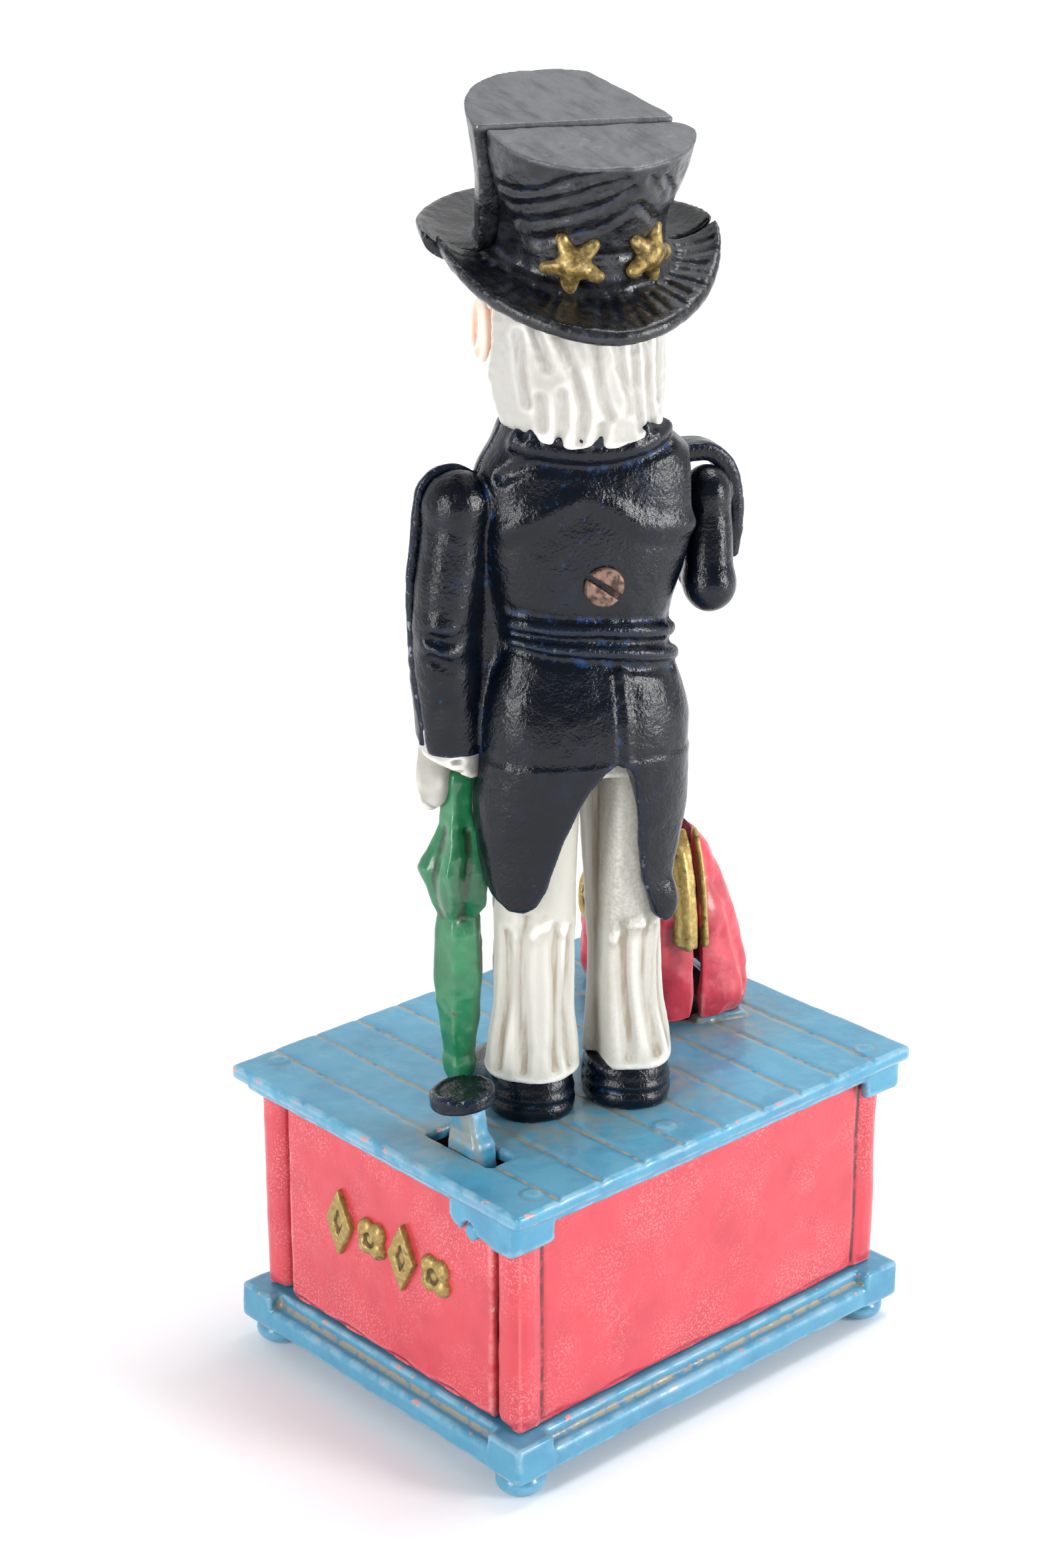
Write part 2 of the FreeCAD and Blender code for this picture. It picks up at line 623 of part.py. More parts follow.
# ---------------------------------------------------------------- the mechanism
def lever():
    """The bar that rises through the deck to the button, and turns with the shaft."""
    body = new_body("lever")
    side = on_plane(body, "lever_side", "YZ_Plane", "lever_x")
    add_outline(side, [
        ("shaft_y", "shaft_z + lever_hub_r - 0.2"), ("slot_rear - 3.4", "shaft_z + 4.3"),
        ("slot_rear - 4", "deck_top - 2.5"), ("button_y + 4.6", "button_z - 1.2"),
        ("button_y - 2.4", "button_z - 1.2"), ("slot_front + 4.4", "deck_top - 2.5"),
        ("slot_front + 5.4", "shaft_z - 2"), ("spring_y - 3.6", "shaft_z - 5.6"),
        ("spring_y + 4", "shaft_z - 5.6"), ("shaft_y", "shaft_z - lever_hub_r + 0.2")])
    pad(body, side, "lever_t", midplane=True)
    hub = on_plane(body, "lever_hub", "YZ_Plane", "lever_x")
    add_circle(hub, "shaft_y", "shaft_z", "lever_hub_r")
    pad(body, hub, "lever_t + 1.6", midplane=True)
    bore = on_plane(body, "lever_bore", "YZ_Plane", "lever_x")
    add_circle(bore, "shaft_y", "shaft_z", "shaft_r")
    pocket(body, bore, "lever_t * 3", midplane=True)


def button():
    """The round thumb button, leaning with the lever's top."""
    body = new_body("button")
    disc = on_plane(body, "button_disc", "XY_Plane", "-button_t/2")
    add_circle(disc, "0", "0", "button_r")
    pad(body, disc, "button_t")
    dress(body, "Fillet", "button_t * 0.3", lambda p: abs(abs(p.z) - dim("button_t") / 2) < 1e-3)
    body.Placement = Placement(Vector(dim("lever_x"), dim("button_y"), value_of(
        "button_z + button_t/2 - 0.7")), Rotation(Vector(1, 0.8, 0), dim("button_lean")))


def shaft_and_arms():
    """The rocker shaft, and the two arms pressed on it."""
    body = new_body("rocker_shaft")
    end = on_plane(body, "shaft_end", "YZ_Plane", "-shaft_l/2")
    add_circle(end, "shaft_y", "shaft_z", "shaft_r")
    pad(body, end, "shaft_l")
    half = dim("shaft_l") / 2
    dress(body, "Fillet", "shaft_r * 0.45", lambda p: near(abs(p.x), half))
    rod = in_figure(dim("rod_fx"), dim("rod_fy"))
    shaft_arm("lift_arm", rod.x + 2.6, f"(shaft_y - {rod.y})", slot=True)
    tip = jaw_crank_tip()
    shaft_arm("jaw_arm", tip.x, f"(shaft_y - {tip.y})", slot=False)


def shaft_arm(label, x, reach, slot):
    """A flat arm from the shaft towards the front, slotted for a pin or with a round nose."""
    body = new_body(label)
    hub = on_plane(body, f"{label}_hub", "YZ_Plane", str(x))
    add_circle(hub, "shaft_y", "shaft_z", "arm_hub_r")
    pad(body, hub, "arm_t + 1.6", midplane=True)
    bar = on_plane(body, f"{label}_bar", "YZ_Plane", str(x))
    nose = "3.6" if slot else "0"
    half = "2.9" if slot else "1.7"
    add_outline(bar, [("shaft_y", "shaft_z + 3.2"), ("shaft_y", "shaft_z - 3.2"),
                      (f"shaft_y - {reach} - {nose}", f"shaft_z - {half}"),
                      (f"shaft_y - {reach} - {nose}", f"shaft_z + {half}")])
    pad(body, bar, "arm_t", midplane=True)
    if slot:
        window = on_plane(body, f"{label}_window", "YZ_Plane", str(x))
        half_h = "(pin_r + pin_play)"
        add_rectangle(window, f"shaft_y - {reach} - 2.2", f"shaft_z - {half_h}",
                      f"shaft_y - {reach} + 2.2", f"shaft_z + {half_h}")
        pocket(body, window, "arm_t * 3", midplane=True)
    bore = on_plane(body, f"{label}_bore", "YZ_Plane", str(x))
    add_circle(bore, "shaft_y", "shaft_z", "shaft_r")
    pocket(body, bore, "arm_t * 4", midplane=True)


def crank_pin():
    """The crank pin's place about the shoulder pivot: its Y in the figure's frame, and Z."""
    rise = math.radians(dim("crank_rise"))
    return -dim("crank_r") * math.cos(rise), dim("pivot_z") + dim("crank_r") * math.sin(rise)


def push_rod():
    """The wire inside the figure: a cross pin below, an eye for the crank, a jog to the beard."""
    fx, fy, r, jog = dim("rod_fx"), dim("rod_fy"), dim("rod_r"), dim("rod_jog_z")
    low, pin_y, pin_z = dim("shaft_z") - 2.6, *crank_pin()
    lower = Part.makeCylinder(r, jog - low + r, Vector(fx, fy, low))
    upper = Part.makeCylinder(r, dim("rod_top") - jog, Vector(dim("tail_fx"), fy, jog))
    across = rod_between((fx, fy, jog), (dim("tail_fx"), fy, jog), r)
    eye_x = fx + r + 0.7
    play = dim("pin_r") + dim("pin_play")
    eye = block(eye_x - 1.1, eye_x + 1.1, pin_y - 2.3, pin_y + 2.5, pin_z - 2.4, pin_z + 2.4)
    eye = eye.cut(block(eye_x - 1, eye_x + 3, pin_y - 1.6, pin_y + 1.4, pin_z - play, pin_z + play))
    wire = lower.fuse([upper, across, eye])
    wire.Placement = figure_place()
    foot = in_figure(fx, fy)
    pin = Part.makeCylinder(dim("pin_r"), 5.2, Vector(foot.x - 0.6, foot.y, dim("shaft_z")), X_AXIS)
    free_form("push_rod", wire.fuse(pin).removeSplitter())


def return_spring():
    """The coil that stands on the floor and lifts the lever."""
    low, high = value_of("base_low + base_floor"), value_of("shaft_z - 5.6")
    wire, radius = dim("spring_wire"), dim("spring_r")
    height = high - low - 2 * wire - 0.1
    helix = Part.makeHelix(height / dim("spring_turns"), height, radius)
    profile = Part.Wire([Part.Circle(Vector(radius, 0, 0), Y_AXIS, wire).toShape()])
    coil = Part.Wire(helix.Edges).makePipeShell([profile], True, True)
    coil.translate(Vector(dim("lever_x"), dim("spring_y"), low + wire + 0.05))
    free_form("return_spring", coil)


# ---------------------------------------------------------------- the figure
TORSO = [(149, 0, 1, 20.8, 13), (160, 0, 1, 21.8, 14), (172, 0, 0, 17.8, 12),
         (186, 0, 0, 19, 13), (199, 0, 0, 20.6, 13.5), (208, 0, 0, 19.4, 12),
         (215, 0, 0, 15, 9.8), (220, 0, 0, 12.5, 9)]
HEAD = [(216, 0, 0, 12, 11), (225, 0, 0, 16, 15), (236, 0, -0.5, 17.4, 16.6),
        (246, 0, -1, 16.8, 16), (253, 0, -2, 15, 14.5)]
LEG = [(150, 9.4, 0, 9, 9.6), (125, 9.8, 0, 8.2, 8.8), (104, 9.9, 0, 8, 8.4),
       (81.2, 10.8, 0, 9.5, 9.4)]
LEFT_ARM = [(27, 0, 204, 7.4), (28.6, 0.5, 186, 7.6), (28.2, -1, 168, 7.3), (26.6, -3, 150, 6.5)]


def mirrored(rows, side):
    return [(z, side * x, y, rx, ry) for z, x, y, rx, ry in rows]


def shoe(side):
    rows = [(dim("deck_top"), 11 * side, -5.5, 8, 14), (75, 11 * side, -5.2, 8.6, 14.4),
            (79, 11 * side, -2.5, 8.2, 12), (82.5, 11 * side, 0, 7.2, 8.5)]
    return upright(rows)


def coat_tail(side):
    rows = [(152, 11 * side, 8, 9.6, 7), (138, 13 * side, 9.5, 7.8, 5),
            (124, 13.2 * side, 10, 6, 3.8), (117, 13.4 * side, 10, 4, 2.8)]
    return upright(rows)


def hat_place():
    return Placement(Vector(0, dim("hat_fy"), dim("hat_z")), Rotation(X_AXIS, -dim("hat_tilt")))


def hat():
    """The flared crown and the brim that curls up at its sides, tilted back."""
    crown = upright([(-2, 0, 0, 18.3, 17.4), (13, 0, 0, 18.4, 17.6), (23, 0, 0, 20.2, 19),
                     (31, 0, 0, 23, 21.2)])
    band = Part.Wire(Part.makePolygon([Vector(x, 0, z) for x, z in (
        (-34, 9.6), (-20, 1.2), (-9, -1.5), (9, -1.5), (20, 1.2), (34, 9.6),
        (34, 12.8), (20, 4.4), (9, 1.7), (-9, 1.7), (-20, 4.4), (-34, 12.8), (-34, 9.6))]))
    brim = Part.Face(band).extrude(Vector(0, 80, 0))
    brim.translate(Vector(0, -40, 0))
    edge = upright([(-10, 0, 0, 29.5, 31), (20, 0, 0, 29.5, 31)])
    solid = crown.fuse(brim.common(edge))
    solid.Placement = hat_place()
    return solid


def hat_hollow():
    solid = upright([(-6, 0, 0, 14, 13), (13, 0, 0, 15.4, 14.6), (28, 0, 0, 17.5, 16)])
    solid.Placement = hat_place()
    return solid


def figure_outside():
    """The solids that make up the figure, all but its right arm."""
    left_hand = ellipsoid((dim("umbrella_fx") + 0.6, dim("umbrella_fy") - 2.5, 144.5), 6, 6, 6.4)
    web = block(15, 26, -3, 3, 156, 206)
    parts = [upright(HEAD), hat(), limb(LEFT_ARM), left_hand, web]
    for side in (1, -1):
        parts += [upright(mirrored(LEG, side)), coat_tail(side), shoe(side)]
    return [upright(TORSO)] + parts


def figure_inside():
    """The hollow of the figure: torso, neck, head, hat and legs."""
    skin = -dim("skin")
    legs = [upright(mirrored([(151, *LEG[0][1:])] + LEG[1:-1] + [(69, 10.4, 0, 8.2, 8.8)], side),
                    skin) for side in (1, -1)]
    neck = upright([(212, 0, 0, 11.5, 9.5), (222, 0, 0, 11.5, 9.5)], skin + 0.6)
    return upright(TORSO, skin).fuse([upright(HEAD, skin), neck, hat_hollow()] + legs)


def figure_shells():
    """The front and back castings, parted on the plane through the shoulders."""
    screw_x, screw_z = dim("screw_fx"), dim("screw_z")
    pivot = rod_between((-40, 0, dim("pivot_z")), (0, 0, dim("pivot_z")), dim("pivot_r") + dim("pivot_play"))
    screw_hole = rod_between((screw_x, -20, screw_z), (screw_x, 40, screw_z), dim("screw_r") + 0.1)
    recess = rod_between((screw_x, 10.4, screw_z), (screw_x, 40, screw_z), dim("screw_head_r") + 0.25)
    handle = rod_between((dim("umbrella_fx"), dim("umbrella_fy"), 130),
                         (dim("umbrella_fx"), dim("umbrella_fy"), 146), 3.6)
    beard_bay = block(-9, 9, -40, -9.5, 214, 231.5)
    beard_hole = beard_axis(10.8, dim("beard_pin_r") + FREE)
    shared = [figure_inside(), pivot, handle, beard_bay, beard_hole]
    shared += [rod_between((x, y, 60), (x, y, 79.5), dim("tie_r")) for x, y in SHOE_SCREWS]
    boss = rod_between((screw_x, -12, screw_z), (screw_x, -2, screw_z), 4.4)
    boss = boss.cut(rod_between((screw_x, -9, screw_z), (screw_x, 0, screw_z), dim("screw_r")))
    front = half_of_figure(block(-60, 60, -60, -FREE, 0, 300)).cut(shared)
    front = front.fuse([boss, right_cap()])
    back = half_of_figure(block(-60, 60, FREE, 60, 0, 300)).cut(shared + [screw_hole, recess])
    free_form("figure_front", front, figure_place())
    free_form("figure_back", back, figure_place())
    slotted_screw("figure_screw", [figure_place().multVec(Vector(screw_x, 12.8, screw_z))],
                  dim("screw_head_r"), 2.2, dim("screw_r") - FREE, 18,
                  figure_place().Rotation.multVec(Y_AXIS * -1))


def half_of_figure(region):
    """What lies of the figure in a region, as one solid."""
    pieces = [solid.common(region) for solid in figure_outside()]
    pieces = [piece for piece in pieces if piece.Solids]
    return pieces[0].fuse(pieces[1:])


def right_cap():
    """A curved sleeve plate outside the right arm, joined to the front casting above it."""
    top = dim("pivot_z") + 9.2
    plate = block(-35, -33, -9, -FREE, 186, top + 2)
    plate = plate.makeFillet(3.5, [e for e in plate.Edges
                                   if near(e.CenterOfMass.z, 186) and near(e.CenterOfMass.y, -9)])
    bridge = block(-34, -15, -9, -FREE, top, top + 2)
    return plate.fuse(bridge)


def right_arm():
    """The swinging arm: shoulder, elbow, forearm and open palm; the pivot and its crank."""
    pivot = dim("pivot_z")
    arm = limb([(-27.3, 0, pivot, 5), (-27.3, 4.6, 185.2, 5.2), (-28.6, -20, 187, 4.5),
                (-32.5, -37, 189.5, 4)])
    cuff = rod_between((-32.4, -36, 189.4), (-33, -39.5, 190), 4.6)
    palm = block(-39, -29, -54, -38, 188.2, 191)
    palm = palm.makeFillet(2, [e for e in palm.Edges if near(e.CenterOfMass.z, 189.6)])
    dish = Part.makeSphere(22, Vector(-34, -46.5, 211.8))
    bore = rod_between((-40, 0, pivot), (0, 0, pivot), dim("pivot_r"))
    free_form("right_arm", arm.fuse([cuff, palm]).cut([dish, bore]), figure_place())
    x_low = dim("rod_fx") + dim("rod_r") + 2.1
    x_high = x_low + 2
    trunnion = rod_between((-32.4, 0, pivot), (x_high + 0.4, 0, pivot), dim("pivot_r"))
    free_form("arm_trunnion", trunnion, figure_place())
    pin_y, pin_z = crank_pin()
    hub = rod_between((x_low, 0, pivot), (x_high, 0, pivot), 3.4)
    end = rod_between((x_low, pin_y, pin_z), (x_high, pin_y, pin_z), 2)
    bar = block(x_low, x_high, -1.7, 1.7, 0, dim("crank_r"))
    bar.Placement = Placement(Vector(0, 0, pivot), Rotation(X_AXIS, 90 - dim("crank_rise")))
    pin = rod_between((x_low - 1.2, pin_y, pin_z), (x_high, pin_y, pin_z), dim("pin_r"))
    crank = hub.fuse([end, bar, pin]).removeSplitter()
    crank = crank.cut(rod_between((-40, 0, pivot), (0, 0, pivot), dim("pivot_r")))
    free_form("arm_crank", crank, figure_place())


def beard_axis(reach, radius):
    """A rod along the axis that the beard nods about."""
    y, z = dim("beard_pivot_fy"), dim("beard_pivot_z")
    return rod_between((-reach, y, z), (reach, y, z), radius)


def beard():
    """The hinged beard below the face, with its tail inside the head, and its pin."""
    tuft = loft([((0, -14.5, 229.5), 6.6, 4.6), ((0, -17, 222), 6.8, 4.2),
                 ((0, -17.5, 215), 4.4, 3.2), ((0, -17.5, 210), 1.8, 1.8)])
    tail_x = dim("tail_fx")
    tail = block(tail_x - 1.3, tail_x + 1.3, -12.5, -2.6, 225.5, 227.1)
    neck = block(-8, 8, -14, -8.6, 225.5, 230.2)
    solid = tuft.fuse([tail, neck]).cut(beard_axis(20, dim("beard_pin_r") + dim("pivot_play")))
    free_form("beard", solid, figure_place())
    free_form("beard_pin", beard_axis(10.5, dim("beard_pin_r")), figure_place())


UMBRELLA = [(74, 1.8), (77, 2.6), (79, 3.7), (81, 3.2), (90, 4.6), (104, 5.5), (112, 5.2),
            (114.5, 6.4), (121, 7.2), (127, 6.2), (130.5, 3.2), (139, 2.9), (143, 3.3)]


def umbrella():
    """The furled umbrella: six-sided sections on an upright axis."""
    fx, fy = dim("umbrella_fx"), dim("umbrella_fy")
    turns = [math.pi * k / 3 for k in range(7)]
    wires = [Part.makePolygon([Vector(fx + r * math.cos(a), fy + r * math.sin(a), z) for a in turns])
             for z, r in UMBRELLA]
    free_form("umbrella", Part.makeLoft(wires, True, True), figure_place())


# ---------------------------------------------------------------- the bag
def bag_rows(grow=0.0):
    """Level ovals of the whole bag, from the deck up, in the bag's frame."""
    w, length, h = dim("bag_half_w"), dim("bag_half_l"), dim("bag_h")
    return [(dim("bag_lift"), 0, 0, w * 0.93 + grow, length * 0.97 + grow),
            (h * 0.22, 0, 0, w + grow, length + grow),
            (h * 0.55, 0, 0, w * 0.86 + grow, length * 0.98 + grow),
            (h * 0.85, 0, 0, w * 0.56 + grow, length * 0.9 + grow),
            (h, 0, 0, w * 0.3 + grow, length * 0.74 + grow)]


def bag_half(side):
    """One half of the bag, hollow and open above, below and towards the other half."""
    gap, low = dim("bag_gap"), dim("bag_lift")
    inner = [(z, x, y, rx - dim("bag_skin"), ry - dim("bag_skin")) for z, x, y, rx, ry in bag_rows()]
    hollow = upright([(-5, *inner[0][1:])] + inner[1:] + [(dim("bag_h") + 6, *inner[-1][1:])])
    bag = upright(bag_rows()).cut(hollow)
    keep = block(gap, 40, -40, 40, low - 5, 80)
    if side < 0:
        keep = block(-40, -gap, -40, 40, -5, 80)
    return bag.common(keep)


def bag_frame(side):
    """The gilt band round the mouth of one half."""
    gap, width = dim("bag_gap"), dim("frame_w")
    solid = upright(bag_rows(dim("frame_t"))).cut(upright(bag_rows()))
    low_x, high_x = sorted((side * gap, side * (gap + width)))
    return solid.common(block(low_x, high_x, -40, 40, dim("frame_drop"), dim("bag_h") - 0.3))


def bag():
    """Both halves with their gilt frames and medals, and the rod the moving half turns on."""
    place = bag_place()
    free_form("bag_fixed_half", bag_half(-1).fuse(fixed_foot()), place)
    free_form("bag_fixed_frame", bag_frame(-1), place)
    medal = Part.makeCylinder(dim("medal_r"), 2, Vector(0, 0, 0)).cut(
        Part.makeCylinder(dim("medal_r") - 2.2, 2))
    medal.Placement = Placement(Vector(dim("bag_half_w") - 2.4, 0, 27), Rotation(
        Z_AXIS, Vector(1, 0, 0.27)))
    deck = dim("deck_top")
    out, hinge = dim("hinge_out"), dim("hinge_z") - deck
    bore = Part.makeCylinder(dim("hinge_r"), 120, Vector(out, -60, hinge), Y_AXIS)
    side = [(out - 4.1, 6.5), (out - 0.9, 6.5), (out - 0.9, 0.5), (out + 2.4, hinge + 1.6),
            (out + 2.4, hinge - 2.4), (out - 2.4, hinge - 2.4), (out - 4.1, 0), (out - 4.1, 6.5)]
    legs = []
    for along in JAW_LEGS:
        face = Part.Face(Part.makePolygon([Vector(x, along - 2.4, z) for x, z in side]))
        leg = face.extrude(Vector(0, 4.8, 0)).cut(bore)
        rivet = Part.makeCylinder(1.2, 4.6, Vector(out - 1.5, along, 4.2), X_AXIS)
        legs.append(leg.fuse(rivet).removeSplitter())
    free_form("jaw_legs", Part.makeCompound(legs), place)
    medal = medal.cut(upright(bag_rows()))
    free_form("bag_moving_half", bag_half(1), place)
    free_form("bag_moving_frame", bag_frame(1), place)
    free_form("bag_medal", medal, place)
    rod = Part.makeCylinder(dim("hinge_r"), dim("hinge_rear") + 16, Vector(out, -16, hinge), Y_AXIS)
    free_form("jaw_rod", rod, place)
    rear, tip_z = dim("hinge_rear"), dim("jaw_reach_z") - deck
    hub = Part.makeCylinder(2.3, 3, Vector(out, rear - 3, hinge), Y_AXIS)
    tip = out + dim("jaw_crank")
    side = [(out - 1, hinge - 2), (out + 1.8, hinge + 1), (tip - 3, tip_z), (tip + 2, tip_z),
            (tip + 2, tip_z - 2.4), (tip - 4, tip_z - 2.4), (out - 1, hinge - 2)]
    bar = Part.Face(Part.makePolygon([Vector(x, rear - 3, z) for x, z in side]))
    crank = hub.fuse(bar.extrude(Vector(0, 3, 0))).removeSplitter()
    free_form("jaw_crank", crank.cut(rod), place)


def fixed_foot():
    """Two feet inside the fixed half that its screws enter from below."""
    edge = -dim("bag_screw_in")
    solids = []
    for along in BAG_SCREWS:
        foot = Part.makeCylinder(2.4, 7.5, Vector(edge, along, 0))
        rib = block(edge - 3.6, edge, along - 1.3, along + 1.3, dim("bag_lift") + 0.2, 7.5)
        solids.append(foot.fuse(rib).cut(Part.makeCylinder(1.2, 6.3, Vector(edge, along, 0))))
    return solids


def jaw_crank_tip():
    """Where the second arm presses on the jaw's crank."""
    return along_bag(dim("hinge_out") + dim("jaw_crank"), dim("hinge_rear") - 1.5, dim("hinge_z"))


# ---------------------------------------------------------------- build and write
def build():
    fill_sheet()
    base_plate()
    end_panel("front_panel", "-1")
    end_panel("back_panel", "1")
    side_panel("left_side_panel", "1")
    side_panel("right_side_panel", "-1")
    top_plate()
    side_ornaments("left_side_ornaments", 1)
    side_ornaments("right_side_ornaments", -1)
    front_ornament()
    box_screws()
    trap()
    lever()
    button()
    shaft_and_arms()
    push_rod()
    return_spring()
    figure_shells()
    right_arm()
    beard()
    umbrella()
    bag()
    doc.recompute()


def sub_parts():
    """The objects that are pieces of the bank: those that nothing else is made from."""
    found = []
    for obj in doc.Objects:
        kind = obj.TypeId
        if not hasattr(obj, "Shape") or kind.startswith(("Sketcher", "App::")):
            continue
        if kind.startswith("PartDesign::") and kind != "PartDesign::Body":
            continue
        users = [u for u in obj.InList if u.TypeId.startswith("Part::")]
        if not users:
            found.append(obj)
    return found


def write():
    os.makedirs("parts", exist_ok=True)
    for obj in doc.Objects:
        if "Invalid" in obj.State or "Error" in obj.State:
            raise RuntimeError(f"{obj.Label} failed: {obj.State}")
    for obj in sub_parts():
        shape = obj.Shape
        if shape.isNull() or not shape.isValid() or not shape.Solids:
            raise RuntimeError(f"{obj.Label} has no valid solid")
        print(f"{obj.Label:22s} solids {len(shape.Solids)} volume {shape.Volume:10.1f} mm3")
        shape.exportStep(f"parts/{obj.Label}.step")


build()
write()
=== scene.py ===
"""The look of a painted cast-iron mechanical bank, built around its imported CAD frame.

Every visible piece is sculpted as a signed distance field in millimetres and then turned
into a closed mesh, so that its edges are as soft as those of a sand casting.  Each vertex
keeps two numbers for the paint: "wear" (edges above 0, hollows below) and "paint", which
tells the colours of one piece apart.
"""
import json
import math
from itertools import product

import bpy
import numpy as np
from mathutils import Matrix, Vector

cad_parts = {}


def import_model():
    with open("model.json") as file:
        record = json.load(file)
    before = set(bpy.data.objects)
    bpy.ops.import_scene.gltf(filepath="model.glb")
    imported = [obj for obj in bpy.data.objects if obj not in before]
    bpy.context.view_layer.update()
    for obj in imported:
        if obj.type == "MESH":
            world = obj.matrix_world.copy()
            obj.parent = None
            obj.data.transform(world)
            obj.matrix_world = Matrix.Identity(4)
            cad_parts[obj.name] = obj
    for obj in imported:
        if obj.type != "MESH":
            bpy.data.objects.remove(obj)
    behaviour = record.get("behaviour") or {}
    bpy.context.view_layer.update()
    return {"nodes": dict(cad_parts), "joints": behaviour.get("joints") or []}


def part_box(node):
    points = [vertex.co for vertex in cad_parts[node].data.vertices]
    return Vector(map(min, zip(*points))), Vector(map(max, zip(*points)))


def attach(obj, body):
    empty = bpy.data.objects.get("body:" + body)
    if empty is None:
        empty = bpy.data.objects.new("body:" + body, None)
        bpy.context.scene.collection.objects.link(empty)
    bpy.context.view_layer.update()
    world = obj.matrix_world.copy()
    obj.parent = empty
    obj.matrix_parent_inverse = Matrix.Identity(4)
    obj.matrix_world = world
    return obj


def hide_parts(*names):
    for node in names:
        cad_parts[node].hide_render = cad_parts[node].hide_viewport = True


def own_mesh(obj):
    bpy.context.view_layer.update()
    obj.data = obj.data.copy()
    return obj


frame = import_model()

MM = 0.001
COARSE = 1.0
EMPTY = 50.0
CORNERS = list(product((0, 1), repeat=3))
BOTH = (-1, 1)
FAR = 2.0  # paint takes no notice of surfaces farther off than this

JOINTS = {joint["name"]: joint for joint in frame["joints"]}
SHAFT_Y, SHAFT_Z = (round(v / MM, 3) for v in JOINTS["lever_press"]["pos_m"][1:])
DECK_TOP = round(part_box("top_plate")[1].z / MM, 3)


def standing(x, y, z, degrees):
    """The frame of something that stands turned on the deck."""
    return Matrix.Translation((x, y, z)) @ Matrix.Rotation(math.radians(degrees), 4, "Z")


# The figure turns about the upright through its shoulder joint.  The bag's jaw joint lies
# JAW_OUT to the side of the bag's middle.
FIGURE_TURN, BAG_TURN, JAW_OUT = -25, -20, 10.5
SHOULDER, JAW = (Vector(JOINTS[name]["pos_m"]) / MM for name in ("arm_swing", "bag_open"))
FIGURE = standing(SHOULDER.x, SHOULDER.y, 0, FIGURE_TURN)
BAG = standing(round(JAW.x - JAW_OUT * math.cos(math.radians(BAG_TURN)), 3),
               round(JAW.y - JAW_OUT * math.sin(math.radians(BAG_TURN)), 3), DECK_TOP, BAG_TURN)


# ------------------------------------------------------------------ distance fields
class Shape:
    """A signed distance function with the box that its surface lies in."""

    def __init__(self, field, low, high):
        self.field = field
        self.low = np.array(low, float)
        self.high = np.array(high, float)


def rounded(one, two, soft=0.0):
    """The distance to the overlap of two fields, whose corner is rounded by soft."""
    out = np.sqrt(np.maximum(one, 0) ** 2 + np.maximum(two, 0) ** 2)
    return out + np.minimum(np.maximum(one, two), 0) - soft


def ball(centre, radii):
    """An ellipsoid, or a sphere where radii is one number."""
    cx, cy, cz = centre
    rx, ry, rz = (radii, radii, radii) if np.isscalar(radii) else radii

    def field(x, y, z):
        near = np.sqrt(((x - cx) / rx) ** 2 + ((y - cy) / ry) ** 2 + ((z - cz) / rz) ** 2) + 1e-3
        steep = np.sqrt(((x - cx) / rx**2) ** 2 + ((y - cy) / ry**2) ** 2
                        + ((z - cz) / rz**2) ** 2)
        return near * (near - 1) / np.maximum(steep, 1e-6)

    reach = np.array([rx, ry, rz])
    return Shape(field, np.array(centre) - reach, np.array(centre) + reach)


def pill(start, end, r_start, r_end=None):
    """A round bar between two points whose radius may change along it."""
    r_end = r_start if r_end is None else r_end
    a, b = np.array(start, float), np.array(end, float)
    along = b - a
    square = float(along @ along)

    def field(x, y, z):
        u, v, w = x - a[0], y - a[1], z - a[2]
        t = np.clip((u * along[0] + v * along[1] + w * along[2]) / square, 0, 1)
        gap = np.sqrt((u - t * along[0]) ** 2 + (v - t * along[1]) ** 2 + (w - t * along[2]) ** 2)
        return gap - (r_start + (r_end - r_start) * t)

    reach = max(r_start, r_end)
    return Shape(field, np.minimum(a, b) - reach, np.maximum(a, b) + reach)


def chain(points, radii):
    """Pills joined end to end through a list of points."""
    if np.isscalar(radii):
        radii = [radii] * len(points)
    links = [pill(p, q, r, s) for p, q, r, s in zip(points, points[1:], radii, radii[1:])]

    def field(x, y, z):
        found = links[0].field(x, y, z)
        for link in links[1:]:
            found = np.minimum(found, link.field(x, y, z))
        return found

    low = np.min([link.low for link in links], axis=0)
    high = np.max([link.high for link in links], axis=0)
    return Shape(field, low, high)


def curve(points, count=9):
    """Points along a smooth (Catmull-Rom) curve through a few given ones."""
    p = np.array([points[0]] + list(points) + [points[-1]], float)
    made = []
    for i in range(len(points) - 1):
        a, b, c, d = p[i:i + 4]
        for t in np.linspace(0, 1, count, endpoint=False):
            made.append(0.5 * (2 * b + (c - a) * t + (2 * a - 5 * b + 4 * c - d) * t**2
                               + (3 * b - a - 3 * c + d) * t**3))
    return [tuple(q) for q in made] + [tuple(p[-1])]


def slab(centre, half, soft=0.0):
    """A box with rounded edges, from its centre and half sizes."""
    cx, cy, cz = centre
    hx, hy, hz = (h - soft for h in half)

    def field(x, y, z):
        u, v, w = np.abs(x - cx) - hx, np.abs(y - cy) - hy, np.abs(z - cz) - hz
        out = np.sqrt(np.maximum(u, 0) ** 2 + np.maximum(v, 0) ** 2 + np.maximum(w, 0) ** 2)
        return out + np.minimum(np.maximum(u, np.maximum(v, w)), 0) - soft

    return Shape(field, np.array(centre) - half, np.array(centre) + half)


